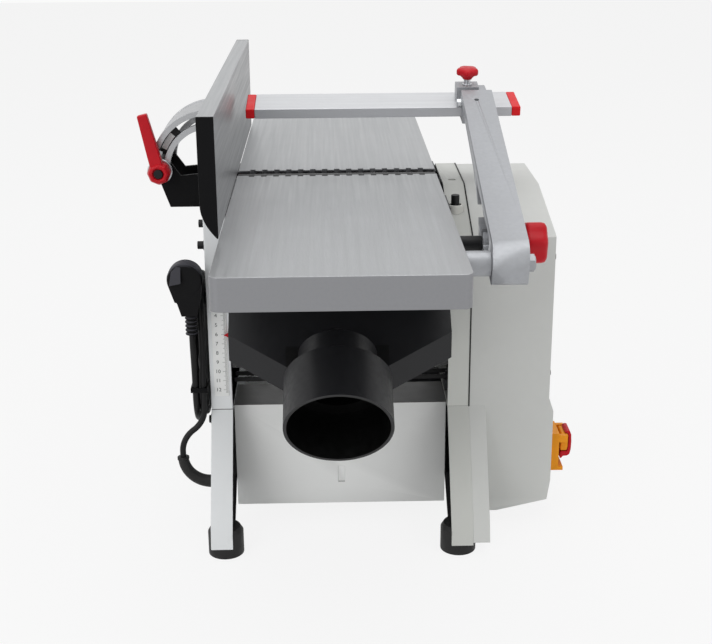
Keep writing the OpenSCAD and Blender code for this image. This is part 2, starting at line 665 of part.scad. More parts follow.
// Fence with its caps, quadrant carrier and bracket
fence_x = -table_half;
fence_low = table_top_z + 1;
fence_top = fence_low + fence_h;
taper_h = 30;
taper_steps = 8;
fence_outline = concat([[fence_x, fence_low], [fence_x, fence_top], [fence_x - fence_t, fence_top]],
  [for (i = [0:taper_steps]) let (s = i / taper_steps)
    [fence_x - fence_t + (fence_t - 1) * pow(s, 2), fence_low + taper_h * (1 - s)]]);
module fence() color([0.66, 0.67, 0.67]) xz_prism(fence_y0 + fence_cap, fence_y1 - fence_cap) difference() {
  polygon(fence_outline);
  translate([fence_x - fence_t + 3, fence_low + taper_h + 2]) square([fence_t - 6, fence_h - taper_h - 5]);
}
module fence_caps() color([0.05, 0.05, 0.05]) {
  xz_prism(fence_y0, fence_y0 + fence_cap) polygon(fence_outline);
  xz_prism(fence_y1 - fence_cap, fence_y1) polygon(fence_outline);
}
pin_x = fence_x - 27;
pin_z = table_top_z + 5;
pin_r = 4;
quad_band = 14;
quad_t = 8;
quad_y = [0, 67];
slot_r0 = quad_r - 14;
slot_r1 = quad_r - 6;
stud_r = 3.7;
stud_x = pin_x - (slot_r0 + slot_r1) / 2;
// Ring sector round the hinge pin, from angle a0 to a1
module pin_sector(y0, y1, r0, r1, a0, a1) translate([pin_x, y1, pin_z]) rotate([90, 0, 0])
  rotate([0, 0, a0]) rotate_extrude(angle = a1 - a0) translate([r0, 0]) square([r1 - r0, y1 - y0]);
carrier_x0 = fence_x - fence_t - 4;
quad_start = acos((fence_x - fence_t - pin_x - 0.8) / quad_r);
module fence_quadrant() color([0.60, 0.61, 0.62]) difference() {
  union() {
    box(carrier_x0, fence_x - fence_t, -6, 82, pin_z + 10, pin_z + 78);
    for (y = quad_y) pin_sector(y, y + quad_t, slot_r0 - 6, quad_r, quad_start, 190);
    pin_sector(quad_y[0] + quad_t - 1, quad_y[1] + 1, quad_r - 2.5, quad_r - 0.5, 84, 160);
    for (y = [18, 46]) {
      y_rod(y, y + 11, pin_x, pin_z, 7);
      box(pin_x + 1, fence_x - fence_t, y, y + 11, pin_z - 3, pin_z + 12);
    }
  }
  for (y = quad_y) pin_sector(y - 1, y + quad_t + 1, slot_r0, slot_r1, 100, 186);
  y_rod(-10, 90, pin_x, pin_z, pin_r + running);
}
bracket_y = [12, 59];
bracket_t = 4;
bracket_low = table_top_z - 37;
bracket_reach = 46;
bracket_plate = [[-panel_out, bracket_low], [-panel_out, pin_z - 11], [pin_x, pin_z - 11], [pin_x - 2, pin_z],
  [pin_x - 12, pin_z - 6], [stud_x + 20, pin_z - 8], [stud_x + 8, pin_z + 9], [stud_x - 4, pin_z + 9],
  [stud_x - 4, pin_z - 9], [-panel_out - bracket_reach, bracket_low]];
module fence_bracket() color([0.04, 0.04, 0.04]) difference() {
  union() {
    for (y = bracket_y) {
      xz_prism(y, y + bracket_t) polygon(bracket_plate);
      y_rod(y, y + bracket_t, pin_x, pin_z, 7.5);
      y_rod(y, y + bracket_t, stud_x, pin_z, 7);
    }
    box(-panel_out - bracket_reach, -panel_out, bracket_y[0], bracket_y[1] + bracket_t, bracket_low, bracket_low + 4);
    box(-panel_out - 4, -panel_out, bracket_y[0] - 8, bracket_y[1] + 12, bracket_low, pin_z - 13);
    for (y = [27, 44]) box(-panel_out - 32, -panel_out, y, y + 3, bracket_low, bracket_low + 22);
    y_rod(quad_y[0] + quad_t + gap, quad_y[1] - gap, stud_x, pin_z, 7);
  }
  y_rod(0, 80, pin_x, pin_z, pin_r + running);
  y_rod(0, 80, stud_x, pin_z, stud_r + running);
}
lever_y0 = quad_y[0] - 18;
module fence_pins() color([0.60, 0.61, 0.63]) {
  y_rod(bracket_y[0] - 2, bracket_y[1] + bracket_t + 2, pin_x, pin_z, pin_r);
  y_rod(lever_y0 + 3, quad_y[1] + quad_t + 12, stud_x, pin_z, stud_r);
  y_rod(quad_y[1] + quad_t + gap, quad_y[1] + quad_t + 7, stud_x, pin_z, 7, $fn = 6);
}
lever_len = 62;
lever_lean = 17;
module fence_lever() color([0.78, 0.10, 0.12]) difference() {
  union() {
    y_rod(lever_y0, quad_y[0] - gap, stud_x, pin_z, 11);
    translate([stud_x, lever_y0 + 12, pin_z]) rotate([0, -lever_lean, 0]) rotate([90, 0, 0]) linear_extrude(9)
      polygon([[-7, 0], [7, 0], [5, lever_len], [-5, lever_len]]);
  }
  y_rod(lever_y0 + 2, quad_y[0] + 1, stud_x, pin_z, stud_r + running);
  y_rod(lever_y0 - 1, lever_y0 + 3, stud_x, pin_z, 5);
}

// Cutter guard: boss and lock rod on the outfeed table, arm, clamp and bar
pivot_z = table_low + table_skirt / 2;
arm_x0 = panel_in + 17;
arm_x1 = arm_x0 + arm_w;
pivot_r = 6;
boss_r = 11;
module guard_pivot() color([0.78, 0.79, 0.80]) {
  x_rod(table_half, arm_x0 - gap, -guard_pivot_y, pivot_z, boss_r);
  x_rod(arm_x0 - gap, arm_x1 + 7, -guard_pivot_y, pivot_z, pivot_r);
  x_rod(arm_x1 + gap, arm_x1 + 6, -guard_pivot_y, pivot_z, 8, $fn = 6);
}
lock_r = 63;
lock_y = -guard_pivot_y + lock_r;
lock_rod_r = 7;
lock_stud_r = 4;
module guard_lock_rod() color([0.05, 0.05, 0.05]) {
  x_rod(table_half, arm_x0 - gap, lock_y, pivot_z, lock_rod_r);
  x_rod(arm_x0 - gap, arm_x1 + 24, lock_y, pivot_z, lock_stud_r);
}
knob_r = 20;
module guard_lock_knob() color([0.80, 0.10, 0.13]) difference() {
  union() {
    x_rod(arm_x1 + gap, arm_x1 + 7, lock_y, pivot_z, 9);
    x_rod(arm_x1 + 7, arm_x1 + 26, lock_y, pivot_z, knob_r);
  }
  x_rod(arm_x1, arm_x1 + 25, lock_y, pivot_z, lock_stud_r + running);
  for (a = [0:60:300]) x_rod(arm_x1 + 6, arm_x1 + 27, lock_y + (knob_r + 3) * cos(a),
    pivot_z + (knob_r + 3) * sin(a), 6);
}
arm_down = 12;
arm_up = 6;
end_t = 10;
module on_arm() translate([0, -guard_pivot_y, pivot_z]) rotate([arm_slope, 0, 0]) children();
nose_r = 18;
nose_low = -arm_r + 8;
nose_front = -arm_r + 7;
nose_steps = 9;
arm_outline = concat([[nose_front + 4, nose_low], [8, nose_low], [lock_r - 26, -arm_r - 13],
  [lock_r + 14, -arm_r - 13], [lock_r + 36, -6], [lock_r + 90, arm_r - end_t - 6],
  [arm_len, arm_r - end_t], [arm_len, arm_r]],
  [for (i = [0:nose_steps]) let (a = 90 + 90 * i / nose_steps)
    [nose_front + nose_r + nose_r * cos(a), arm_r - nose_r + nose_r * sin(a)]],
  [[nose_front, nose_low + 4]]);
slot_half = lock_stud_r + gap;
slot_ends = asin(slot_half / lock_r) + 1;
module arm_slot_sector() rotate([90, 0, 90]) rotate([0, 0, -arm_slope - arm_up - slot_ends])
  rotate_extrude(angle = arm_up + arm_down + 2 * slot_ends)
    translate([lock_r - slot_half, 0]) square([2 * slot_half, arm_w + 2]);
module guard_arm() color([0.68, 0.69, 0.71]) on_arm() difference() {
  yz_prism(arm_x0, arm_x1) polygon(arm_outline);
  difference() {
    yz_prism(arm_x0 - 1, arm_x1 - 6) polygon([[18, -12], [lock_r + 26, -16], [lock_r + 60, arm_r - 14],
      [18, arm_r - 8]]);
    for (a = [-50, -15, 20]) translate([0, 22, -6]) rotate([a + 50, 0, 0])
      box(arm_x0 + 4, arm_x1, -20, 110, -1.5, 1.5);
    rotate([-arm_slope, 0, 0]) x_rod(arm_x0, arm_x1, lock_r, 0, 13);
  }
  x_rod(arm_x0 - 1, arm_x1 + 1, 0, 0, pivot_r + running);
  at_x(arm_x0 - 1) arm_slot_sector();
  z_rod(0, arm_r + 1, (arm_x0 + arm_x1) / 2 - 2, arm_len - 22, 2.5);
}
bar_z = table_top_z + 72;
bar_tilt = 8;
bar_x1 = panel_in + 78;
bar_x0 = bar_x1 - bar_len;
clamp_half = bar_d / 2 + 5;
clamp_wall = 6;
module on_bar() translate([0, 0, bar_z]) rotate([bar_tilt, 0, 0]) children();
clamp_top = bar_t / 2 + clamp_wall + 10;
stem_x = arm_x0 + 8;
stem_r = 3;
module guard_clamp() color([0.70, 0.71, 0.73]) difference() {
  on_bar() difference() {
    union() {
      box(arm_x0 + 1, arm_x1 - 1, -clamp_half, clamp_half, -bar_t / 2 - clamp_wall, bar_t / 2 + clamp_wall);
      box(stem_x - 11.5, stem_x + 11.5, -9, 11, bar_t / 2 + 1, clamp_top);
    }
    box(arm_x0 - 1, arm_x1 + 1, -bar_d / 2 - gap, bar_d / 2 + gap, -bar_t / 2 - gap, bar_t / 2 + gap);
    box(arm_x0 - 1, arm_x1 + 1, -bar_d / 2 + 6, bar_d / 2 - 14, -bar_t, bar_t / 2);
    z_rod(0, 30, stem_x, 0, stem_r + running);
  }
  on_arm() yz_prism(arm_x0 - 1, arm_x1 + 1) polygon(arm_outline);
}
stem_top = clamp_top + 6;
module guard_star_knob() color([0.82, 0.08, 0.12]) on_bar() {
  z_rod(bar_t / 2 + gap, stem_top + 2, stem_x, 0, stem_r);
  difference() {
    union() {
      translate([stem_x, 0, stem_top]) cylinder(h = 5, r1 = 5, r2 = 8.5);
      z_rod(stem_top + 5, stem_top + 12, stem_x, 0, 11.5);
    }
    for (a = [0:72:288]) z_rod(stem_top + 4, stem_top + 13, stem_x + 14 * cos(a), 14 * sin(a), 4.5);
  }
}
module bar_outline() translate([-bar_d / 2, -bar_t / 2]) square([bar_d, bar_t]);
module guard_bar() color([0.72, 0.73, 0.75]) on_bar() difference() {
  yz_prism(bar_x0 + bar_cap, bar_x1 - bar_cap) bar_outline();
  yz_prism(bar_x0, bar_x1) translate([-bar_d / 2 + 6, -bar_t / 2 + 2]) square([14, bar_t - 4]);
  yz_prism(bar_x0, bar_x1) translate([bar_d / 2 - 20, -bar_t / 2 + 2]) square([14, bar_t - 4]);
}
module guard_bar_caps() color([0.85, 0.06, 0.12]) on_bar()
  for (x = [bar_x0, bar_x1 - bar_cap]) yz_prism(x, x + bar_cap) bar_outline();

// Switch on the side of the drive cover
switch_x = cover_x1 + cover_bulge;
switch_y0 = -body_half + 12;
switch_y1 = switch_y0 + 34;
switch_z0 = 54;
switch_z1 = switch_z0 + 42;
switch_mid_y = (switch_y0 + switch_y1) / 2;
base_t = 10;
button_r = 6;
button_x0 = switch_x + 6;
button_t = 6;
flap_t = 3;
flap_pin_x = switch_x + base_t + 5;
flap_pin_z = switch_z1 - 6;
paddle_z = (switch_z0 + switch_z1) / 2;
paddle_r = 14;
button_places = [[switch_mid_y, switch_z0 + 26], [switch_mid_y, switch_z0 + 12]];
module switch_base() color([0.90, 0.60, 0.10]) difference() {
  union() {
    box(switch_x, switch_x + base_t, switch_y0, switch_y1, switch_z0, switch_z1);
    for (y = [switch_y0, switch_y1 - 5])
      box(switch_x + base_t - 1, flap_pin_x + 4, y, y + 5, flap_pin_z - 4, flap_pin_z + 4);
    y_rod(switch_y0 + 2, switch_y1 - 2, flap_pin_x, flap_pin_z, 2);
    box(switch_x + base_t - 1, switch_x + base_t + 5, switch_y0, switch_y1, switch_z0, switch_z0 + 4);
  }
  for (p = button_places) x_rod(switch_x + 2, switch_x + base_t + 1, p[0], p[1], button_r + gap);
}
// Flap with its raised stop paddle, turning on the pin at the top of the base
module switch_flap() color([0.75, 0.07, 0.10]) difference() {
  union() {
    y_rod(switch_y0 + 5 + gap, switch_y1 - 5 - gap, flap_pin_x, flap_pin_z, 4);
    box(flap_pin_x + 1, flap_pin_x + 1 + flap_t, switch_y0 + 6, switch_y1 - 6, switch_z0 + 6, flap_pin_z);
    x_rod(flap_pin_x + 2, flap_pin_x + 6, switch_mid_y, paddle_z, paddle_r);
    x_rod(flap_pin_x + 6, flap_pin_x + 9, switch_mid_y, paddle_z, paddle_r - 3);
  }
  y_rod(switch_y0, switch_y1, flap_pin_x, flap_pin_z, 2 + running);
}
module switch_button(p) x_rod(button_x0, button_x0 + button_t, p[0], p[1], button_r);
module start_button() color([0.10, 0.45, 0.18]) switch_button(button_places[0]);
module stop_button() color([0.70, 0.08, 0.08]) switch_button(button_places[1]);

// Cord: strain relief, short free stretch, hank, tie and plug
cord_r = cord_d / 2;
relief_r = 6.5;
relief_tip_r = cord_r + 0.8;
relief_bend = 28;
relief_rings = 12;
relief_lead = 2;
relief_at = [-panel_out, -125, 60];
relief_route = concat([relief_at], [for (i = [0:relief_rings]) let (a = 90 * i / relief_rings)
  relief_at + [-relief_lead, 0, 0] + relief_bend * [-sin(a), 0, 1 - cos(a)]]);
module strain_relief() color([0.05, 0.05, 0.05]) tube(relief_route,
  [for (i = [-1:relief_rings]) relief_r + (relief_tip_r - relief_r) * max(0, i) / relief_rings], 16);
hank_y = -85;
hank_z = 196;
hank_half = 7.2 * cord_d;
fold_in = 3 * cord_d;
waist = 0.12;
hank_step = 8;
fold_out = fold_in + hank_loops * hank_step;
layer_x = [-139, -147];
plug_neck_z = 222;
ring_sides = 6;
// Point of the hank after s loops, starting at the foot of the front run
function fold_at(s) = s <= hank_loops ? fold_out - hank_step * s
  : fold_in + (fold_out - fold_in) * max(0, s - hank_loops - 0.25) / (hank_loops - 0.25);
function side_of(t, r) =
  let (arc = (t - floor(t)) * 4)
  arc < 1 ? [-r, -hank_half + 2 * hank_half * arc]
  : arc < 2 ? [-r * cos(180 * (arc - 1)), hank_half + r * sin(180 * (arc - 1))]
  : arc < 3 ? [r, hank_half - 2 * hank_half * (arc - 2)]
  : [r * cos(180 * (arc - 3)), -hank_half - r * sin(180 * (arc - 3))];
function drawn_in(p) = let (k = abs(p[1]) < hank_half ? pow(cos(90 * p[1] / hank_half), 2) : 0)
  [p[0] * (1 - waist * k), p[1]];
function climb(s) = let (u = min(1, max(0, (s - hank_loops) * 4))) u * u * (3 - 2 * u);
function hank_point(s) = let (p = drawn_in(side_of(s, fold_at(s))))
  [layer_x[0] + (layer_x[1] - layer_x[0]) * climb(s), hank_y + p[0], hank_z + p[1]];
front_y = hank_y - fold_out;
hank_start = [layer_x[0], front_y, hank_z - hank_half - cord_d];
rings_per_loop = 24;
// The last run leans forward, so that the plug stands clear of the loops
run_lean = 5;
lean_z = [hank_z - 26, plug_neck_z - cord_d];
neck_y = front_y - run_lean;
lean_rings = 6;
hank_route = concat([hank_start],
  [for (i = [0:2 * hank_loops * rings_per_loop - 1]) hank_point(i / rings_per_loop)],
  [[layer_x[1], front_y, hank_z - hank_half]],
  [for (i = [0:lean_rings]) let (u = i / lean_rings)
    [layer_x[1], front_y - run_lean * u * u * (3 - 2 * u), lean_z[0] + (lean_z[1] - lean_z[0]) * u]],
  [[layer_x[1], neck_y, plug_neck_z]]);
hank_gap = min([for (i = [0:len(hank_route) - 1], j = [0:len(hank_route) - 1])
  if (j > i + 6) norm(hank_route[i] - hank_route[j])]) - cord_d;
echo(hank_gap = hank_gap);
function route_len(p) = let (steps = [for (i = [1:len(p) - 1]) norm(p[i] - p[i - 1])])
  steps * [for (s = steps) 1];
echo(cord_length = route_len(hank_route) + route_len(cord_route), s_bend_radius = s_r);
// Tube swept along points, its rings turned by least twist
function way_at(p, i) = i == 0 ? unit(p[1] - p[0]) : i == len(p) - 1 ? unit(p[i] - p[i - 1])
  : unit(unit(p[i] - p[i - 1]) + unit(p[i + 1] - p[i]));
function across(w) = unit(cross(w, [1, 0.2, 0]));
function ring(c, w, r, n) = let (u = across(w), v = cross(w, u))
  [for (k = [0:n - 1]) c + r * (cos(360 * k / n) * u + sin(360 * k / n) * v)];
module tube(p, radii, n) {
  rings = [for (i = [0:len(p) - 1]) each ring(p[i], way_at(p, i), radii[i], n)];
  last = (len(p) - 1) * n;
  walls = [for (i = [0:len(p) - 2], k = [0:n - 1]) let (a = i * n + k, b = i * n + (k + 1) % n)
    each [[a, b, a + n], [b, b + n, a + n]]];
  caps = [for (k = [1:n - 2]) each [[0, k + 1, k], [last, last + k, last + k + 1]]];
  polyhedron(rings, concat(walls, caps));
}
function even(p) = [for (q = p) cord_r];
module cord_hank() color([0.05, 0.05, 0.05]) tube(hank_route, even(hank_route), ring_sides);
// Free stretch, from the strain relief up to the hank: straight, an S of two arcs, straight
relief_end = relief_at + [-relief_lead - relief_bend, 0, relief_bend];
s_from = relief_end + [0, 0, cord_d];
s_to = hank_start - [0, 0, cord_d];
s_side = [s_to[0] - s_from[0], s_to[1] - s_from[1]];
s_shift = norm(s_side);
s_rise = s_to[2] - s_from[2];
s_turn = 2 * atan(s_shift / s_rise);
s_r = s_rise / (2 * sin(s_turn));
s_rings = 6;
function s_point(shift, rise) = s_from + [s_side[0] * shift / s_shift, s_side[1] * shift / s_shift, rise];
cord_route = concat([relief_end],
  [for (i = [0:s_rings]) let (a = s_turn * i / s_rings) s_point(s_r * (1 - cos(a)), s_r * sin(a))],
  [for (i = [s_rings - 1:-1:0]) let (a = s_turn * i / s_rings)
    s_point(s_shift - s_r * (1 - cos(a)), s_rise - s_r * sin(a))],
  [hank_start]);
module power_cord() color([0.05, 0.05, 0.05]) tube(cord_route, even(cord_route), 8);
// Tie round the waist of the hank
tie_t = 1.2;
tie_h = 5;
tie_z = hank_z - 38;
tie_half_y = fold_out + cord_r + gap;
tie_x = [layer_x[1] - cord_r - gap, layer_x[0] + cord_r + gap];
module cord_tie() color([0.09, 0.09, 0.09]) difference() {
  box(tie_x[0] - tie_t, tie_x[1] + tie_t, hank_y - tie_half_y - tie_t, hank_y + tie_half_y + tie_t,
    tie_z, tie_z + tie_h);
  box(tie_x[0], tie_x[1], hank_y - tie_half_y, hank_y + tie_half_y, tie_z - 1, tie_z + tie_h + 1);
}
// Angled plug standing on the end of the cord, its pins pointing away along +Y
plug_r = 17.5;
plug_at = [layer_x[1] - 4, neck_y, 280];
plug_t = 18;
plug_pin_r = 2.4;
plug_pin_len = 19;
plug_pin_half = 9.5;
neck_top = plug_neck_z + 23;
module plug() color([0.05, 0.05, 0.05]) {
  y_rod(neck_y - plug_t / 2, neck_y + plug_t / 2, plug_at[0], plug_at[2], plug_r);
  hull() {
    z_rod(neck_top - 1, neck_top, layer_x[1] - 1, neck_y, 7.5, $fn = 32);
    z_rod(plug_at[2] - 12, plug_at[2] - 11, plug_at[0], neck_y, 8.5, $fn = 32);
  }
  z_rod(plug_neck_z, neck_top, layer_x[1], neck_y, 5);
  for (i = [0:4]) z_rod(plug_neck_z + 1 + i * 4, plug_neck_z + 3.4 + i * 4, layer_x[1], neck_y, 6.5);
  for (s = [-1, 1]) y_rod(neck_y, neck_y + plug_t / 2 + plug_pin_len, plug_at[0] + s * plug_pin_half,
    plug_at[2], plug_pin_r);
}
// Hook that the hank hangs on
hook_r = 8;
hook_z = hank_z + hank_half + fold_in - cord_r - gap - hook_r - 1;
module cord_hook() color([0.05, 0.05, 0.05]) {
  x_rod(-154, -panel_out, hank_y, hook_z, hook_r);
  box(-154 - 3, -154, hank_y - 5, hank_y + 5, hook_z - 4, hook_z + hook_r + 10);
}

left_side_panel();
right_side_panel();
left_leg_frame();
right_leg_frame();
cross_panels();
table_supports();
rubber_feet();
drive_cover();
panel_bolts();
cord_hook();
outfeed_table();
infeed_table();
depth_screw();
cutterblock();
cutter_knives();
knife_wedges();
cutterblock_bearings();
bearing_blocks();
cutterblock_pulley();
motor();
motor_pulley();
drive_belt();
feed_gearbox();
feed_output();
drive_chains();
infeed_roller();
outfeed_roller();
thickness_table();
lead_nuts();
right_lead_screw();
left_lead_screw();
guide_posts();
lift_brackets();
spindle_bush();
depth_scale();
scale_pointer();
dust_hood();
fence();
fence_caps();
fence_quadrant();
fence_bracket();
fence_pins();
fence_lever();
guard_pivot();
guard_lock_rod();
guard_lock_knob();
guard_arm();
guard_clamp();
guard_star_knob();
guard_bar();
guard_bar_caps();
switch_base();
switch_flap();
start_button();
stop_button();
strain_relief();
power_cord();
cord_hank();
cord_tie();
plug();
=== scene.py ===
"""Looks of the bench planer thicknesser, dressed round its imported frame.

All sizes are written in millimetres and turned into metres by MM.
"""

import math

import bmesh
import bpy
from mathutils import Matrix, Vector


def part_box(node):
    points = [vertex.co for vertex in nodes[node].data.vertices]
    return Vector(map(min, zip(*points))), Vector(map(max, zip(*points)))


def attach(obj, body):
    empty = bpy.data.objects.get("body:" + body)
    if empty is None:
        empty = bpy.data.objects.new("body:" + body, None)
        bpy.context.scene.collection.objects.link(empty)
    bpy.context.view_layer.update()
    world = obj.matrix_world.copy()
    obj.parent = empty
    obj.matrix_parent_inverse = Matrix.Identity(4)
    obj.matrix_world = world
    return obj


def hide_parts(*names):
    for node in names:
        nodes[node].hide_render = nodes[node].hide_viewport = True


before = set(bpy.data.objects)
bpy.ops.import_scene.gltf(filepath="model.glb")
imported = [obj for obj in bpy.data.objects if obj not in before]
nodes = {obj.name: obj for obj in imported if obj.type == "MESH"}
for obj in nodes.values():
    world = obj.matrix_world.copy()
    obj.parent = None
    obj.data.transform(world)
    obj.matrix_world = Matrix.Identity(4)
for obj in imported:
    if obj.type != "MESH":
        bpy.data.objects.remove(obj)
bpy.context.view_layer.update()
MM = 0.001


def mm(*values):
    """A point given in millimetres, in metres."""
    return Vector(values) * MM


def box_mm(node):
    """Lowest and highest corner of a CAD node, in millimetres."""
    low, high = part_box(node)
    return low / MM, high / MM


# Camera: place and turn as solved from the photograph
CAMERA_AT = (-9.3, -1333.2, 652.3)
FOCAL_PX = 1284.0
IMAGE_W = 712
SENSOR_W = 36.0
PITCH_DOWN = math.radians(19.17)
YAW_RIGHT = math.radians(1.22)
ROLL = math.radians(0.41)
CLIP_START = 50.0


def make_camera():
    """A camera that looks down along the tables from in front of their near end."""
    forward = Vector((
        math.sin(YAW_RIGHT) * math.cos(PITCH_DOWN),
        math.cos(YAW_RIGHT) * math.cos(PITCH_DOWN),
        -math.sin(PITCH_DOWN),
    ))
    level = Vector((math.cos(YAW_RIGHT), -math.sin(YAW_RIGHT), 0))
    down = forward.cross(level)
    right = math.cos(ROLL) * level + math.sin(ROLL) * down
    below = -math.sin(ROLL) * level + math.cos(ROLL) * down
    data = bpy.data.cameras.new("camera")
    data.sensor_fit = "HORIZONTAL"
    data.sensor_width = SENSOR_W
    data.lens = FOCAL_PX * SENSOR_W / IMAGE_W
    data.clip_start = CLIP_START * MM
    camera = bpy.data.objects.new("camera", data)
    bpy.context.scene.collection.objects.link(camera)
    turn = Matrix((right, -below, -forward)).transposed().to_4x4()
    camera.matrix_world = Matrix.Translation(mm(*CAMERA_AT)) @ turn
    bpy.context.scene.camera = camera


make_camera()


# Materials
class Paint:
    """A procedural material: nodes are added round one Principled shader."""

    def __init__(self, name, colour, roughness, metallic=0.0):
        self.mat = bpy.data.materials.new(name)
        self.mat.use_nodes = True
        self.tree = self.mat.node_tree
        self.shader = self.tree.nodes["Principled BSDF"]
        self.colour = colour
        self.base = None
        self.set("Base Color", (*colour, 1))
        self.set("Roughness", roughness)
        self.set("Metallic", metallic)
        self.place = self.node("ShaderNodeTexCoord").outputs["Object"]

    def node(self, kind, **values):
        made = self.tree.nodes.new(kind)
        for key, value in values.items():
            setattr(made, key, value)
        return made

    def set(self, socket, value):
        self.shader.inputs[socket].default_value = value

    def link(self, source, target):
        self.tree.links.new(source, target)

    def noise(self, scale, detail=3.0, stretch=(1, 1, 1)):
        """Noise of that many cells per metre, stretched along the axes."""
        mapping = self.node("ShaderNodeMapping")
        mapping.inputs["Scale"].default_value = stretch
        self.link(self.place, mapping.inputs["Vector"])
        made = self.node("ShaderNodeTexNoise")
        made.inputs["Scale"].default_value = scale
        made.inputs["Detail"].default_value = detail
        self.link(mapping.outputs["Vector"], made.inputs["Vector"])
        return made.outputs["Fac"]

    def between(self, source, low, high, start=0.3, end=0.7):
        """The source spread over low to high."""
        made = self.node("ShaderNodeMapRange")
        for key, value in (("From Min", start), ("From Max", end), ("To Min", low), ("To Max", high)):
            made.inputs[key].default_value = value
        self.link(source, made.inputs["Value"])
        return made.outputs["Result"]

    def mix(self, factor, other):
        """The base colour so far, mixed with another colour."""
        made = self.node("ShaderNodeMix", data_type="RGBA", blend_type="MIX")
        self.link(factor, made.inputs[0])
        colour_a, colour_b = made.inputs[6], made.inputs[7]
        if self.base is None:
            colour_a.default_value = (*self.colour, 1)
        else:
            self.link(self.base, colour_a)
        colour_b.default_value = (*other, 1)
        self.base = made.outputs[2]
        self.link(self.base, self.shader.inputs["Base Color"])
        return self

    def mottle(self, scale, share, stretch=(1, 1, 1), detail=3.0):
        """Slow patches of a slightly darker tone."""
        factor = self.between(self.noise(scale, detail, stretch), 0, 1)
        return self.mix(factor, tuple(c * (1 - share) for c in self.colour))

    def rough(self, scale, low, high, stretch=(1, 1, 1)):
        """Roughness that wanders between low and high."""
        self.link(self.between(self.noise(scale, 4.0, stretch), low, high), self.shader.inputs["Roughness"])
        return self

    def bump(self, scale, strength, depth_mm, stretch=(1, 1, 1), detail=3.0):
        """Fine relief from noise."""
        made = self.node("ShaderNodeBump")
        made.inputs["Strength"].default_value = strength
        made.inputs["Distance"].default_value = depth_mm * MM
        self.link(self.noise(scale, detail, stretch), made.inputs["Height"])
        self.link(made.outputs["Normal"], self.shader.inputs["Normal"])
        return self

    def paler_edges(self, colour, start=0.53, end=0.60):
        """Convex edges mixed towards another colour."""
        return self.mix(self.between(self.geometry("Pointiness"), 0, 0.7, start, end), colour)

    def geometry(self, output):
        return self.node("ShaderNodeNewGeometry").outputs[output]

    def axis(self, source, name):
        """One axis of a vector."""
        made = self.node("ShaderNodeSeparateXYZ")
        self.link(source, made.inputs[0])
        return made.outputs[name]

    def combined(self, kind, operation, first, second=None):
        """Node of a maths kind, with sockets or values as its two sides."""
        made = self.node(kind, operation=operation)
        self.link(first, made.inputs[0])
        if isinstance(second, bpy.types.NodeSocket):
            self.link(second, made.inputs[1])
        elif second is not None:
            made.inputs[1].default_value = second
        return made.outputs

    def vectors(self, operation, first, second=None, result="Vector"):
        return self.combined("ShaderNodeVectorMath", operation, first, second)[result]

    def numbers(self, operation, first, second):
        return self.combined("ShaderNodeMath", operation, first, second)[0]

    def upward(self, colour, start=0.55, end=0.65):
        """Flat faces that look up, given another colour: painted shade on the legs and the cross panel's
        shelf, a painted highlight on the plug.
        """
        facing = self.axis(self.geometry("True Normal"), "Z")
        return self.mix(self.between(facing, 0, 1, start, end), colour)

    def sides(self, colour, start=0.45, end=0.92):
        """Faces that don't look up, given another colour: the table's cast sides, and painted shade on the
        fence and the guard bar.
        """
        facing = self.axis(self.geometry("Normal"), "Z")
        return self.mix(self.between(facing, 1, 0, start, end), colour)

    def bore(self, at_mm, way, radius_mm, colour):
        """Faces within a radius of an axis that look towards it, given another colour: painted shade inside
        the collar's bore.
        """
        gap = self.vectors("SUBTRACT", self.place, mm(*at_mm))
        out = self.vectors("SUBTRACT", gap, self.vectors("PROJECT", gap, way))
        away = self.vectors("LENGTH", out, result="Value")
        facing = self.vectors("DOT_PRODUCT", out, self.geometry("Normal"), "Value")
        within = self.numbers("LESS_THAN", away, radius_mm * MM)
        inward = self.numbers("LESS_THAN", facing, 0.0)
        return self.mix(self.numbers("MULTIPLY", within, inward), colour)

    def inside(self, colour, skin_mm=130.5, from_mm=3.0, to_mm=6.0):
        """Sheet faces that look towards the middle plane, given another colour: painted shade inside the
        channels of the side panels and legs.
        """
        across = self.axis(self.place, "X")
        facing = self.axis(self.geometry("Normal"), "X")
        product = self.numbers("MULTIPLY", across, facing)
        return self.mix(self.between(product, 1, 0, (from_mm - skin_mm) * MM, (to_mm - skin_mm) * MM), colour)


def metal(name, colour, roughness, grain=(1, 1, 1), metallic=1.0):
    """Bare metal, with fine marks drawn out along its grain."""
    made = Paint(name, colour, roughness, metallic)
    made.mottle(30, 0.06).mottle(260, 0.10, grain, 6.0)
    made.rough(320, roughness - 0.07, roughness + 0.08, grain)
    made.bump(900, 0.10, 0.05, grain, 4.0)
    return made


def plastic(name, colour, roughness, texture=0.12, specular=0.3):
    """Moulded plastic or rubber with a fine texture."""
    made = Paint(name, colour, roughness)
    made.set("Specular IOR Level", specular)
    made.mottle(55, 0.10)
    made.rough(180, roughness - 0.06, roughness + 0.07)
    made.bump(2200, texture, 0.06)
    return made


def coat(name, colour, roughness):
    """Powder coat, a little paler on convex edges."""
    made = Paint(name, colour, roughness)
    made.mottle(14, 0.035).mottle(130, 0.03)
    made.rough(60, roughness - 0.06, roughness + 0.08)
    made.bump(1400, 0.06, 0.05)
    made.paler_edges(tuple(min(1.0, c * 1.12) for c in colour))
    return made


ALONG_Y = (1, 0.02, 1)
ALONG_X = (0.02, 1, 1)
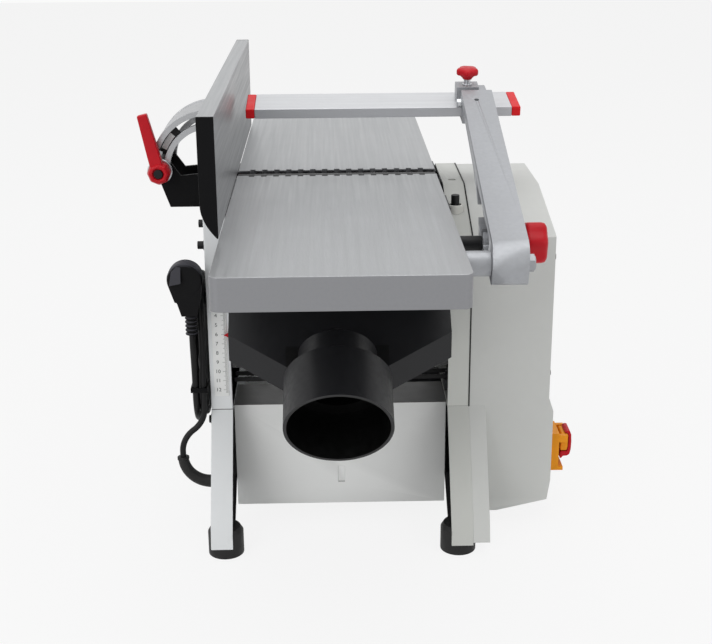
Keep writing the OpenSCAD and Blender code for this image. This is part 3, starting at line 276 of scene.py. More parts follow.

# Painted shade: near-black on the inner faces of the side panels and legs, where their channels lie in
# shadow, and on the legs' faces that look up.
CHANNEL_PAINTED_SHADE = (0.012, 0.012, 0.013)
SHELF_PAINTED_SHADE = (0.18, 0.18, 0.177)
# One grey paint in two copies: a paler copy for the left side, and a darker copy as painted shade for the
# right side.
LEFT_PALE = (0.79, 0.81, 0.82)
RIGHT_PAINTED_SHADE_GREY = (0.57, 0.58, 0.55)
panel_left = coat("panel_paint_left", LEFT_PALE, 0.42).inside(CHANNEL_PAINTED_SHADE)
panel_right = coat("right_panel_paint_shaded", RIGHT_PAINTED_SHADE_GREY, 0.42).inside(CHANNEL_PAINTED_SHADE)
leg_left = coat("leg_paint_left", LEFT_PALE, 0.42).inside(CHANNEL_PAINTED_SHADE).upward(CHANNEL_PAINTED_SHADE)
leg_right = coat("right_leg_paint_shaded", RIGHT_PAINTED_SHADE_GREY, 0.42).inside(CHANNEL_PAINTED_SHADE).upward(CHANNEL_PAINTED_SHADE)
# Painted shade: the cross panel's faces that look up, the shelf fold among them, are dark grey where they lie
# in shadow.
cross_paint = coat("cross_panel_paint", (0.80, 0.81, 0.80), 0.40).upward(SHELF_PAINTED_SHADE)
cover_paint = coat("cover_paint", (0.62, 0.63, 0.61), 0.45)
table_top = metal("ground_table", (0.42, 0.43, 0.44), 0.42, ALONG_Y, metallic=0.85)
table_top.sides((0.26, 0.263, 0.275))
# Painted shade: the fence's faces that don't look up are darker.
fence_metal = metal("fence_extrusion", (0.39, 0.40, 0.41), 0.38, ALONG_Y, metallic=0.9)
fence_metal.sides((0.25, 0.254, 0.262))
quadrant_metal = metal("quadrant_steel", (0.43, 0.437, 0.45), 0.36)
arm_metal = metal("cast_arm", (0.38, 0.39, 0.41), 0.42, metallic=0.45)
# Painted shade: the guard bar's faces that don't look up are darker.
bar_metal = metal("guard_bar_extrusion", (0.66, 0.67, 0.69), 0.36, ALONG_X, metallic=0.35)
bar_metal.sides((0.47, 0.477, 0.497))
steel = metal("turned_steel", (0.58, 0.59, 0.61), 0.30)
dark_steel = metal("dark_steel", (0.20, 0.20, 0.21), 0.38)
# Painted shade: the cutterblock, knives and wedges are near-black to stand for the dark gap between the
# tables.
cutter_gap_shade = metal("cutterblock_gap_shade", (0.03, 0.03, 0.032), 0.45, metallic=0.6)
brass = metal("brass", (0.72, 0.55, 0.25), 0.32)
cast_dark = plastic("dark_casting", (0.06, 0.062, 0.066), 0.55, 0.35)
# Black paint for the panel bolts, lock rod, cover screws and print; on the drive chains the black is painted
# shade in the dark interior.
black_coat_and_shade = plastic("black_coat_and_chain_shade", (0.010, 0.010, 0.011), 0.46, specular=0.22)
# Painted shade: near-black on the inner faces of the dust collar.
COLLAR_AT = (-3.0, -282.0, 186.0)
COLLAR_WAY = (0, math.cos(math.radians(30)), math.sin(math.radians(30)))
COLLAR_BORE_R = 48.6
hood_black = plastic("hood_moulding", (0.009, 0.0092, 0.0108), 0.42, specular=0.34)
hood_black.bore(COLLAR_AT, COLLAR_WAY, COLLAR_BORE_R, (0.001, 0.001, 0.001))
black_plastic = plastic("black_moulding", (0.004, 0.004, 0.0046), 0.50, specular=0.09)
rubber = plastic("rubber", (0.012, 0.012, 0.012), 0.58, 0.2)
cord_rubber = plastic("cord_rubber", (0.007, 0.007, 0.0074), 0.46, specular=0.22)
plug_rubber = plastic("plug_moulding", (0.004, 0.004, 0.0046), 0.48, specular=0.12)
# Painted highlight: the plug's faces that look up, the facet and the upper rim of the head, are lighter.
plug_rubber.upward((0.055, 0.055, 0.064), 0.25, 0.31)
red_plastic = plastic("red_moulding", (0.54, 0.009, 0.018), 0.36, specular=0.18)
cap_red = plastic("red_cap_moulding", (0.72, 0.012, 0.017), 0.38, specular=0.14)
yellow_plastic = plastic("yellow_moulding", (0.90, 0.335, 0.014), 0.40, specular=0.18)
green_plastic = plastic("green_moulding", (0.02, 0.26, 0.06), 0.34)
pale_plastic = plastic("pale_moulding", (0.70, 0.70, 0.66), 0.45)
scale_plate = plastic("scale_plate", (0.90, 0.91, 0.90), 0.35)

NODE_FINISH = {
    panel_left: ["left_side_panel"],
    panel_right: ["right_side_panel"],
    leg_left: ["left_leg_frame"],
    leg_right: ["right_leg_frame"],
    cross_paint: ["cross_panels"],
    cover_paint: ["drive_cover"],
    table_top: ["outfeed_table", "infeed_table", "thickness_table"],
    fence_metal: ["fence"],
    quadrant_metal: ["fence_quadrant"],
    arm_metal: ["guard_arm", "guard_clamp", "guard_pivot"],
    bar_metal: ["guard_bar"],
    steel: ["cutterblock_bearings", "cutterblock_pulley", "motor_pulley", "feed_output", "infeed_roller",
            "left_lead_screw", "guide_posts", "fence_pins"],
    dark_steel: ["outfeed_roller"],
    cutter_gap_shade: ["cutterblock", "cutter_knives", "knife_wedges"],
    brass: ["lead_nuts"],
    cast_dark: ["table_supports", "bearing_blocks", "lift_brackets", "motor", "feed_gearbox"],
    black_coat_and_shade: ["panel_bolts", "guard_lock_rod", "drive_chains", "right_lead_screw"],
    hood_black: ["dust_hood"],
    black_plastic: ["cord_hook", "depth_screw", "fence_caps", "cord_tie", "fence_bracket"],
    rubber: ["rubber_feet", "drive_belt", "strain_relief", "plug", "power_cord", "cord_hank"],
    red_plastic: ["scale_pointer", "fence_lever", "guard_lock_knob", "guard_star_knob", "switch_flap",
                  "stop_button"],
    cap_red: ["guard_bar_caps"],
    yellow_plastic: ["switch_base"],
    green_plastic: ["start_button"],
    pale_plastic: ["spindle_bush"],
    scale_plate: ["depth_scale"],
}
for finish, names in NODE_FINISH.items():
    for name in names:
        mesh = nodes[name].data
        mesh.materials.clear()
        mesh.materials.append(finish.mat)


# Edges of the carried-over solids, broken by a small bevel
EDGE_MM = {
    "outfeed_table": 0.5, "infeed_table": 0.5, "thickness_table": 1.0, "fence": 0.6, "fence_caps": 0.5,
    "drive_cover": 3.0, "dust_hood": 2.4, "guard_arm": 1.6, "guard_clamp": 0.8, "guard_bar": 0.8,
    "guard_bar_caps": 1.2, "rubber_feet": 2.6, "left_side_panel": 1.0, "right_side_panel": 1.0,
    "left_leg_frame": 1.0, "right_leg_frame": 1.0, "fence_quadrant": 0.6, "fence_bracket": 0.6,
    "switch_base": 1.2,
}
DEFAULT_EDGE_MM = 0.4
EDGE_ANGLE = math.radians(32)
FLAT_ANGLE = math.radians(0.3)
WELD_MM = 0.01


def soften(obj, width_mm, segments=3):
    """Weld and clean a solid, bevel its sharp edges and shade it evenly."""
    weld = obj.modifiers.new("weld", "WELD")
    weld.merge_threshold = WELD_MM * MM
    flat = obj.modifiers.new("flat", "DECIMATE")
    flat.decimate_type = "DISSOLVE"
    flat.angle_limit = FLAT_ANGLE
    edge = obj.modifiers.new("edge", "BEVEL")
    edge.width = width_mm * MM
    edge.segments = segments
    edge.limit_method = "ANGLE"
    edge.angle_limit = EDGE_ANGLE
    edge.use_clamp_overlap = True
    even = obj.modifiers.new("even", "WEIGHTED_NORMAL")
    even.keep_sharp = False
    smooth(obj)


def smooth(obj):
    """Shade smooth, without the normals that came with the mesh."""
    mesh = obj.data
    normals = mesh.attributes.get("custom_normal")
    if normals:
        mesh.attributes.remove(normals)
    mesh.shade_smooth()


CORD_NODES = ("power_cord", "cord_hank", "strain_relief", "plug")
for name, node in nodes.items():
    if name not in CORD_NODES:
        soften(node, EDGE_MM.get(name, DEFAULT_EDGE_MM))


# Mesh helpers
def from_bmesh(name, bm, finish, body):
    """A finished piece that rides on a body."""
    mesh = bpy.data.meshes.new(name)
    bmesh.ops.recalc_face_normals(bm, faces=bm.faces)
    bm.to_mesh(mesh)
    bm.free()
    mesh.materials.append(finish.mat)
    piece = bpy.data.objects.new(name, mesh)
    bpy.context.scene.collection.objects.link(piece)
    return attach(piece, body)


def block(bm, low, high):
    """Box between two corners, in mm."""
    low, high = Vector(low), Vector(high)
    size = high - low
    for vert in bmesh.ops.create_cube(bm, size=1.0)["verts"]:
        vert.co = (Vector(vert.co[i] * size[i] for i in range(3)) + (low + high) / 2) * MM


def loft(bm, rings, capped=True):
    """Faces between neighbouring rings of spots in mm, with a cap at each end."""
    rows = [[bm.verts.new(Vector(spot) * MM) for spot in ring] for ring in rings]
    if not capped:
        rows.append(rows[0])
    for low, high in zip(rows, rows[1:]):
        count = len(low)
        for k in range(count):
            n = (k + 1) % count
            bm.faces.new((low[k], low[n], high[n], high[k]))
    if capped:
        bm.faces.new(list(reversed(rows[0])))
        bm.faces.new(rows[-1])


def prism(bm, outline, near, far):
    """Closed prism along the tables, from an outline across and up, in mm."""
    loft(bm, [[(x, y, z) for x, z in outline] for y in (near, far)])


def circle(middle, across, other, radius, sides, lobes=0, lobe_depth=0.0):
    """Ring of spots round a middle, with lobes where they are asked for."""
    ring = []
    for k in range(sides):
        a = 2 * math.pi * k / sides
        out = radius * (1 + lobe_depth * math.cos(lobes * a))
        ring.append(middle + (across * math.cos(a) + other * math.sin(a)) * out)
    return ring


def sector(middle, r0, r1, a0, a1, steps=16):
    """Outline of a ring sector, angles in degrees."""
    spots = []
    for radius, angles in ((r1, (a0, a1)), (r0, (a1, a0))):
        for i in range(steps + 1):
            a = math.radians(angles[0] + (angles[1] - angles[0]) * i / steps)
            spots.append((middle[0] + radius * math.cos(a), middle[1] + radius * math.sin(a)))
    return spots


def turned(bm, profile, at, axis, sides=48, lobes=0, lobe_depth=0.0):
    """Surface of revolution: profile is (radius, distance along axis) in mm, closed at both ends."""
    way = Vector(axis).normalized()
    across = way.orthogonal().normalized()
    other = way.cross(across)
    rings = []
    for radius, along in profile:
        rings.append(circle(Vector(at) + way * along, across, other, radius, sides, lobes, lobe_depth))
    loft(bm, rings)


def swept(bm, points, radii, sides=24):
    """Closed tube of changing radius along points, in mm."""
    spots = [Vector(p) for p in points]
    rings = []
    across = None
    for i, spot in enumerate(spots):
        ahead = spots[min(i + 1, len(spots) - 1)] - spots[max(i - 1, 0)]
        way = ahead.normalized()
        if across is None:
            across = way.orthogonal().normalized()
        across = (across - way * across.dot(way)).normalized()
        rings.append(circle(spot, across, way.cross(across), radii[i], sides))
    loft(bm, rings)


# Cord: the route of the solids, followed more finely
CORD_D = 6.2
CORD_R = CORD_D / 2
RELIEF_AT = (-132.5, -125.0, 60.0)
RELIEF_LEAD = 2.0
RELIEF_BEND = 28.0
RELIEF_R = 6.5
RELIEF_TIP_R = 5.4
RELIEF_LIP = 0.7
RELIEF_STEPS = 40
RELIEF_LIP_STEPS = 2
HANK_Y = -85.0
HANK_Z = 196.0
HANK_HALF = 7.2 * CORD_D
FOLD_IN = 3 * CORD_D
HANK_STEP = 8.0
HANK_LOOPS = 2
FOLD_OUT = FOLD_IN + HANK_LOOPS * HANK_STEP
LAYER_X = (-139.0, -147.0)
WAIST = 0.12
PLUG_NECK_Z = 222.0
RUN_LEAN = 5.0
LEAN_Z = (HANK_Z - 26, PLUG_NECK_Z - CORD_D)
FRONT_Y = HANK_Y - FOLD_OUT
NECK_Y = FRONT_Y - RUN_LEAN
RINGS_PER_LOOP = 96
CLIMB_LOOP = 0.25
ARC_STEPS = 16


def ease(u):
    """0 to 1 with a soft start and end, held outside that."""
    u = min(1.0, max(0.0, u))
    return u * u * (3 - 2 * u)


def fold_at(s):
    """Radius of the hank's ends after s loops: inwards first, then outwards in the second layer."""
    if s <= HANK_LOOPS:
        return FOLD_OUT - HANK_STEP * s
    back = max(0.0, s - HANK_LOOPS - CLIMB_LOOP) / (HANK_LOOPS - CLIMB_LOOP)
    return FOLD_IN + (FOLD_OUT - FOLD_IN) * back


def hank_point(s):
    """Point of the hank after s loops, starting at the foot of its front run."""
    r = fold_at(s)
    arc = (s % 1) * 4
    turn = math.pi * (arc % 1)
    if arc < 1:
        y, z = -r, -HANK_HALF + 2 * HANK_HALF * arc
    elif arc < 2:
        y, z = -r * math.cos(turn), HANK_HALF + r * math.sin(turn)
    elif arc < 3:
        y, z = r, HANK_HALF - 2 * HANK_HALF * (arc - 2)
    else:
        y, z = r * math.cos(turn), -HANK_HALF - r * math.sin(turn)
    if abs(z) < HANK_HALF:
        y *= 1 - WAIST * math.cos(math.pi / 2 * z / HANK_HALF) ** 2
    climb = ease((s - HANK_LOOPS) / CLIMB_LOOP)
    return Vector((LAYER_X[0] + (LAYER_X[1] - LAYER_X[0]) * climb, HANK_Y + y, HANK_Z + z))


def cord_route():
    """Straight out of the strain relief, an S of two arcs, the hank and the run up to the plug."""
    start = Vector(RELIEF_AT) + Vector((-RELIEF_LEAD - RELIEF_BEND, 0, RELIEF_BEND))
    hank_start = Vector((LAYER_X[0], FRONT_Y, HANK_Z - HANK_HALF - CORD_D))
    low = start + Vector((0, 0, CORD_D))
    high = hank_start - Vector((0, 0, CORD_D))
    side = Vector((high.x - low.x, high.y - low.y, 0))
    shift, rise = side.length, high.z - low.z
    side.normalize()
    turn = 2 * math.atan(shift / rise)
    radius = rise / (2 * math.sin(turn))
    first, second = [], []
    for i in range(ARC_STEPS + 1):
        a = turn * i / ARC_STEPS
        out, up = radius * (1 - math.cos(a)), radius * math.sin(a)
        first.append(low + side * out + Vector((0, 0, up)))
        second.append(high - side * out - Vector((0, 0, up)))
    second.reverse()
    hank = [hank_point(i / RINGS_PER_LOOP) for i in range(2 * HANK_LOOPS * RINGS_PER_LOOP)]
    last = [Vector((LAYER_X[1], FRONT_Y, HANK_Z - HANK_HALF))]
    for i in range(ARC_STEPS + 1):
        u = i / ARC_STEPS
        z = LEAN_Z[0] + (LEAN_Z[1] - LEAN_Z[0]) * u
        last.append(Vector((LAYER_X[1], FRONT_Y - RUN_LEAN * ease(u), z)))
    last.append(Vector((LAYER_X[1], NECK_Y, PLUG_NECK_Z)))
    return [start] + first + second[1:] + [hank_start] + hank + last


def make_cord():
    """The cord as one round curve, with the spot where it leaves the relief and its length."""
    route = cord_route()
    curve = bpy.data.curves.new("mains_cord", "CURVE")
    curve.dimensions = "3D"
    curve.bevel_depth = CORD_R * MM
    curve.bevel_resolution = 6
    curve.use_fill_caps = True
    line = curve.splines.new("POLY")
    line.points.add(len(route) - 1)
    for point, spot in zip(line.points, route):
        point.co = (*(spot * MM), 1)
    line.use_smooth = True
    cord = bpy.data.objects.new("mains_cord", curve)
    bpy.context.scene.collection.objects.link(cord)
    curve.materials.append(cord_rubber.mat)
    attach(cord, "frame")
    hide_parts("power_cord", "cord_hank")
    length = sum((b - a).length for a, b in zip(route, route[1:])) * MM
    return cord, route[0] * MM, length


mains_cord, cord_exit, cord_length = make_cord()


def make_relief():
    """Smooth strain relief that bends upwards and ends in a blunt lip."""
    bm = bmesh.new()
    points, radii = [Vector(RELIEF_AT)], [RELIEF_R]
    bend_from = Vector(RELIEF_AT) - Vector((RELIEF_LEAD, 0, 0))
    for i in range(RELIEF_STEPS + 1):
        u = i / RELIEF_STEPS
        a = math.pi / 2 * u
        points.append(bend_from + RELIEF_BEND * Vector((-math.sin(a), 0, 1 - math.cos(a))))
        lip = RELIEF_LIP if i >= RELIEF_STEPS - RELIEF_LIP_STEPS else 0.0
        radii.append(RELIEF_R + (RELIEF_TIP_R - RELIEF_R) * u + lip)
    swept(bm, points, radii)
    relief = from_bmesh("moulded_strain_relief", bm, rubber, "frame")
    smooth(relief)
    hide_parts("strain_relief")


make_relief()

PLUG_R = 17.5
PLUG_AT = (LAYER_X[1] - 4, NECK_Y, 280.0)
PLUG_T = 18.0
PLUG_HALF = PLUG_T / 2
PLUG_CHEEKS = ((-16.8, -4), (16.2, -4), (14.6, -22), (10.5, -37), (-4.6, -37), (-8.6, -23.2), (-10.8, -22.4))
PLUG_FACET = ((-14.5, -3.5), (-3, -1.5), (-3, 13.6), (-7.5, 14.2), (-12.6, 9))
FACET_SLOPE = 0.34
FACET_TOP = 15.0
FACET_ROOT = 1.0
NECK_STEPS = 48
NECK_RIBBED = 23.0
NECK_R = 5.2
NECK_RIB = 1.2
NECK_FLARE = 3.4
NECK_FLARE_LEN = 22.0
NECK_LEAN_EARLY = 6.0
NECK_LEAN_LEN = 30.0
NECK_BELOW_HEAD = 8.0
PLUG_PIN_R = 2.4
PLUG_PIN_LEN = 19.0
PLUG_PIN_HALF = 9.5
PLUG_PIN_ROOT = 1.0
NEARWARD = (0, -1, 0)
FARWARD = (0, 1, 0)
RIGHTWARD = (1, 0, 0)
LEFTWARD = (-1, 0, 0)


def add_plug_neck(bm):
    """Ribbed neck that leans and flares into the plug's head."""
    ribs_end = PLUG_NECK_Z + NECK_RIBBED
    points, radii = [], []
    for i in range(NECK_STEPS + 1):
        z = PLUG_NECK_Z + (PLUG_AT[2] - NECK_BELOW_HEAD - PLUG_NECK_Z) * i / NECK_STEPS
        lean = ease((z - ribs_end + NECK_LEAN_EARLY) / NECK_LEAN_LEN)
        points.append((LAYER_X[1] + (PLUG_AT[0] - LAYER_X[1]) * lean, NECK_Y, z))
        rib = NECK_RIB if z < ribs_end and i % 4 < 2 else 0.0
        radii.append(NECK_R + rib + NECK_FLARE * ease((z - ribs_end) / NECK_FLARE_LEN))
    swept(bm, points, radii, 32)


def add_plug_facet(bm):
    """Sloping facet on the near face of the plug's head."""
    near, far = [], []
    for x, z in PLUG_FACET:
        slope = FACET_SLOPE * (FACET_TOP - z)
        near.append((PLUG_AT[0] + x, NECK_Y - PLUG_HALF - slope, PLUG_AT[2] + z))
        far.append((PLUG_AT[0] + x, NECK_Y - PLUG_HALF + FACET_ROOT, PLUG_AT[2] + z))
    loft(bm, [near, far])


def make_plug_body():
    """Moulded plug: round head with a rim, ribbed neck, flat cheeks and a facet."""
    bm = bmesh.new()
    head = [(PLUG_R - 3, -PLUG_HALF), (PLUG_R - 1, -PLUG_HALF + 0.6), (PLUG_R, -PLUG_HALF + 2.2),
            (PLUG_R, PLUG_HALF - 5), (PLUG_R - 0.9, PLUG_HALF - 4.4), (PLUG_R - 0.9, PLUG_HALF - 3.2),
            (PLUG_R - 0.2, PLUG_HALF - 2.6), (PLUG_R - 0.6, PLUG_HALF - 0.8), (PLUG_R - 2, PLUG_HALF)]
    turned(bm, head, PLUG_AT, FARWARD, 64)
    add_plug_neck(bm)
    cheeks = [(PLUG_AT[0] + x, PLUG_AT[2] + z) for x, z in PLUG_CHEEKS]
    prism(bm, cheeks, NECK_Y - PLUG_HALF + 0.6, NECK_Y + 1.5)
    add_plug_facet(bm)
    body = from_bmesh("moulded_plug", bm, plug_rubber, "frame")
    soften(body, 0.3, 2)
    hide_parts("plug")
    return body


def make_plug_pins():
    """Two round pins with rounded tips."""
    bm = bmesh.new()
    pin = [(PLUG_PIN_R, 0), (PLUG_PIN_R, PLUG_PIN_LEN - 1), (PLUG_PIN_R - 0.4, PLUG_PIN_LEN + 0.4),
           (PLUG_PIN_R - 1.2, PLUG_PIN_LEN + 1)]
    for side in (-1, 1):
        at = (PLUG_AT[0] + side * PLUG_PIN_HALF, NECK_Y + PLUG_HALF - PLUG_PIN_ROOT, PLUG_AT[2])
        turned(bm, pin, at, FARWARD, 24)
    pins = from_bmesh("plug_pins", bm, steel, "frame")
    smooth(pins)
    return pins


plug_pieces = [make_plug_body(), make_plug_pins()]


# Depth scale: millimetre ticks and centimetre numbers
SCALE_ZERO_Z = 277.0
SCALE_MARGIN = 4
PRINT_T = 0.05
TICK_LENGTHS = ((10, 4.8), (5, 3.6), (1, 2.4))
TICK_HALF = 0.13
TICK_EDGE = 0.7
NUMBER_SIZE = 5.4
NUMBER_X = 4.6


def number_into(bm, text, size_mm, at):
    """A printed number that faces the near end, centred on a spot in mm."""
    curve = bpy.data.curves.new("number", "FONT")
    curve.body = text
    curve.size = size_mm * MM
    curve.align_x = "CENTER"
    curve.align_y = "CENTER"
    curve.extrude = PRINT_T * MM / 2
    holder = bpy.data.objects.new("number", curve)
    mesh = bpy.data.meshes.new_from_object(holder)
    mesh.transform(Matrix.Translation(mm(*at)) @ Matrix.Rotation(math.pi / 2, 4, "X"))
    bm.from_mesh(mesh)
    bpy.data.objects.remove(holder)
    bpy.data.curves.remove(curve)
    bpy.data.meshes.remove(mesh)


def make_scale_print():
    """Ticks along the right edge of the scale plate, with a number at every centimetre."""
    low, high = box_mm("depth_scale")
    bm = bmesh.new()
    edge = high.x - TICK_EDGE
    for z in range(round(low.z) + SCALE_MARGIN, round(high.z) - SCALE_MARGIN + 1):
        depth = round(SCALE_ZERO_Z) - z
        length = next(length for step, length in TICK_LENGTHS if depth % step == 0)
        block(bm, (edge - length, low.y - PRINT_T, z - TICK_HALF), (edge, low.y + PRINT_T, z + TICK_HALF))
        if depth % 10 == 0:
            number_into(bm, str(depth // 10), NUMBER_SIZE, (low.x + NUMBER_X, low.y - PRINT_T / 2, z))
    from_bmesh("scale_print", bm, black_coat_and_shade, "frame")


make_scale_print()


# Fence: clamp lever, and the angle plate behind the quadrant's slot
STUD = (-186.0, 360.0)
HINGE = (-132.0, 360.0)
LEVER_LEAN = math.radians(13.0)
HUB_Y = -2.2
HUB_PROFILE = ((10.2, 0), (12.4, 2.6), (12.4, 9.5), (10.0, 15.4), (6.4, 15.8), (6.0, 13.2), (0.4, 13.2))
HANDLE_Y = -10.2
HANDLE_ROWS = ((3, 6.8, 5.6), (22, 6.4, 5.2), (42, 5.8, 4.7), (63, 5.2, 4.2))
WASHER_Y = -0.4
SCREW_Y = -14.6
SOCKET_Y = -15.2
BLOCK_SECTOR = (48.5, 59.5, 129, 160)
BLOCK_Y = (8.5, 11.9)
PLATE_SECTOR = (51.0, 57.2, 137, 156)
PLATE_Y = (8.3, 9.0)


def on_stud(y):
    """The spot that far along the tables on the axis of the clamp stud, in mm."""
    return STUD[0], y, STUD[1]


def make_lever():
    """Straight tapered handle on a faceted hub, with a washer behind and a socket screw in front."""
    bm = bmesh.new()
    turned(bm, HUB_PROFILE, on_stud(HUB_Y), NEARWARD, 8)
    lean = Matrix.Rotation(-LEVER_LEAN, 4, "Y")
    rings = []
    for along, half_w, half_t in HANDLE_ROWS:
        corners = ((-half_w, -half_t), (half_w, -half_t), (half_w, half_t), (-half_w, half_t))
        rings.append([lean @ Vector((x, y, along)) + Vector(on_stud(HANDLE_Y)) for x, y in corners])
    loft(bm, rings)
    lever = from_bmesh("clamp_lever", bm, red_plastic, "fence_lever")
    soften(lever, 1.5)
    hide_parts("fence_lever")
    bm = bmesh.new()
    turned(bm, [(13.2, 0), (13.2, 1.4), (12.6, 1.8), (5, 1.8)], on_stud(WASHER_Y), NEARWARD)
    washer = from_bmesh("lever_washer", bm, steel, "fence_lever")
    soften(washer, 0.3, 2)
    bm = bmesh.new()
    turned(bm, [(4.9, 0), (4.9, 2.4), (4.3, 3.0), (2.9, 3.0)], on_stud(SCREW_Y), NEARWARD, 32)
    turned(bm, [(2.9, 0), (2.9, 0.3), (0.3, 0.4)], on_stud(SOCKET_Y), NEARWARD, 6)
    screw = from_bmesh("lever_screw", bm, black_coat_and_shade, "fence_lever")
    soften(screw, 0.25, 2)


def make_angle_plate():
    """Black pointer block behind the slot of the near quadrant, with a bare pale plate."""
    bm = bmesh.new()
    prism(bm, sector(HINGE, *BLOCK_SECTOR), *BLOCK_Y)
    holder = from_bmesh("angle_block", bm, black_coat_and_shade, "frame")
    soften(holder, 0.6)
    bm = bmesh.new()
    prism(bm, sector(HINGE, *PLATE_SECTOR), *PLATE_Y)
    plate = from_bmesh("angle_plate", bm, scale_plate, "frame")
    soften(plate, 0.2, 2)


make_lever()
make_angle_plate()


# Guard: star knob with its stem, clamp nut and lock knob
BAR_TILT = math.radians(8)
BAR_Z = 427.0
STEM_X = 135.5
CLAMP_TOP = 21.0
ARM_X = (127.5, 158.5)
NUT_Y = -26.0
NUT_Z = 9.9
LOCK_AT = (ARM_X[1], -227.0, 340.5)
STAR_PROFILE = ((8.0, 0), (10.0, 0.5), (10.7, 1.8), (10.7, 5.0), (9.9, 6.5), (7.5, 7.4), (0.4, 7.7))
STAR_LOBES = 5
STAR_LOBE_DEPTH = 0.075
LOCK_PROFILE = (
    (12, 6.6), (17.2, 7.0), (18.6, 8.4), (18.9, 11), (18.9, 21),
    (18.2, 24), (15.5, 25.9), (5, 26.2), (0.4, 26.0),
)
LOCK_LOBES = 6
LOCK_LOBE_DEPTH = 0.055


def on_bar(x, y, z):
    """A spot given across, along and above the guard bar, in mm."""
    turn = Matrix.Rotation(BAR_TILT, 3, "X")
    return turn @ Vector((x, y, z)) + Vector((0, 0, BAR_Z))


def on_stem(height):
    """The spot on the star knob's axis that far above the clamp, in mm."""
    return on_bar(STEM_X, 0, CLAMP_TOP + height)


def make_star_knob():
    """Lobed head with a collar under it, on a bright stem with a washer."""
    up = on_bar(0, 0, 1) - on_bar(0, 0, 0)
    bm = bmesh.new()
    turned(bm, [(4.9, 0), (4.9, 0.8), (4.6, 1.0), (3.6, 1.0)], on_stem(0.1), up, 40)
    turned(bm, [(3.4, 0), (3.4, 7.2), (3.1, 7.5)], on_stem(0.6), up, 32)
    stem = from_bmesh("star_knob_stem", bm, steel, "guard_star_knob")
    soften(stem, 0.25, 2)
    bm = bmesh.new()
    turned(bm, [(4.6, 0), (5.2, 1.2), (7.4, 3.4), (8.2, 4.8)], on_stem(6), up, 60)
    turned(bm, STAR_PROFILE, on_stem(10.2), up, 100, STAR_LOBES, STAR_LOBE_DEPTH)
    star = from_bmesh("star_knob_head", bm, red_plastic, "guard_star_knob")
    smooth(star)
    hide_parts("guard_star_knob")


def make_clamp_nut():
    """Hexagon nut on a washer, on the left face of the arm."""
    at = on_bar(ARM_X[0], NUT_Y, NUT_Z)
    bm = bmesh.new()
    turned(bm, [(4.4, 0), (4.4, 0.9), (4.1, 1.1), (3, 1.1)], at, LEFTWARD, 40)
    turned(bm, [(4.0, 0), (4.0, 4.2), (3.4, 5.0), (1.5, 5.0)], at, LEFTWARD, 6)
    nut = from_bmesh("clamp_nut", bm, steel, "guard_arm")
    soften(nut, 0.25, 2)


def make_lock_knob():
    """Lobed head on a short neck, on the right face of the arm."""
    bm = bmesh.new()
    turned(bm, [(8.4, 0.4), (9.0, 1.0), (9.0, 6.0), (12, 7.4)], LOCK_AT, RIGHTWARD, 60)
    turned(bm, LOCK_PROFILE, LOCK_AT, RIGHTWARD, 120, LOCK_LOBES, LOCK_LOBE_DEPTH)
    knob = from_bmesh("lock_knob_head", bm, red_plastic, "guard_lock_knob")
    smooth(knob)
    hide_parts("guard_lock_knob")


make_star_knob()
make_clamp_nut()
make_lock_knob()


# Switch: yellow lid with a red paddle that wraps over its top, outside and foot
SWITCH_Y = (-95.4, -72.6)
PADDLE_INSET = 0.6
LID_OUTLINE = (
    (232.9, 74.2), (239.8, 74.2), (240.8, 78), (240.8, 90), (239.6, 93), (234.5, 93.4), (232.9, 91),
)
PADDLE_OUTLINE = (
    (237, 94.2), (239.5, 96.6), (242.5, 96.2), (244.2, 92), (244.7, 84), (244.4, 75), (243.2, 69.5),
    (240.5, 67.6), (236.5, 67.4), (234.2, 64.6), (232.9, 65.2), (233.2, 72.8), (240.2, 73.2),
    (241.4, 78), (241.4, 90), (240, 93.6),
)


def make_switch():
    bm = bmesh.new()
    prism(bm, LID_OUTLINE, *SWITCH_Y)
    lid = from_bmesh("switch_lid", bm, yellow_plastic, "switch_flap")
    soften(lid, 1.2, 4)
    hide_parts("switch_flap")
    bm = bmesh.new()
    prism(bm, PADDLE_OUTLINE, SWITCH_Y[0] + PADDLE_INSET, SWITCH_Y[1] - PADDLE_INSET)
    paddle = from_bmesh("stop_paddle", bm, red_plastic, "switch_flap")
    soften(paddle, 0.8)


make_switch()


# Drive cover: dark gasket along its seam, side screws and cooling louvres
SEAM_X = 132.5
SEAM_HALF = 0.7
SEAM_OUTLINE = ((-113.4, 14), (113.4, 14), (113.4, 334.3), (78, 348.4), (-22, 348.4), (-113.4, 315.4))
SEAM_MIDDLE = Vector((0, 200))
SEAM_INNER = 0.96
SIDE_SCREWS = (
    (215.5, -98, 290), (215.5, 98, 290), (215.5, -98, 165),
    (215.5, 98, 165), (220.5, -52, 56), (220.5, 98, 56),
)
LOUVRE_ROWS = 7
LOUVRE_Z = 56.0
LOUVRE_PITCH = 9.0
LOUVRE_Y = (-5, 85)
LOUVRE_OUTLINE = ((220.3, 0), (223.4, -0.4), (223.8, 0.6), (220.3, 5.4))


def make_gasket():
    """Thin dark band between the side panel and the drive cover."""
    bm = bmesh.new()
    inner = [SEAM_MIDDLE + (Vector(p) - SEAM_MIDDLE) * SEAM_INNER for p in SEAM_OUTLINE]
    rings = []
    for outline, side in ((SEAM_OUTLINE, -1), (SEAM_OUTLINE, 1), (inner, 1), (inner, -1)):
        rings.append([(SEAM_X + side * SEAM_HALF, y, z) for y, z in outline])
    loft(bm, rings, capped=False)
    from_bmesh("cover_gasket", bm, rubber, "frame")


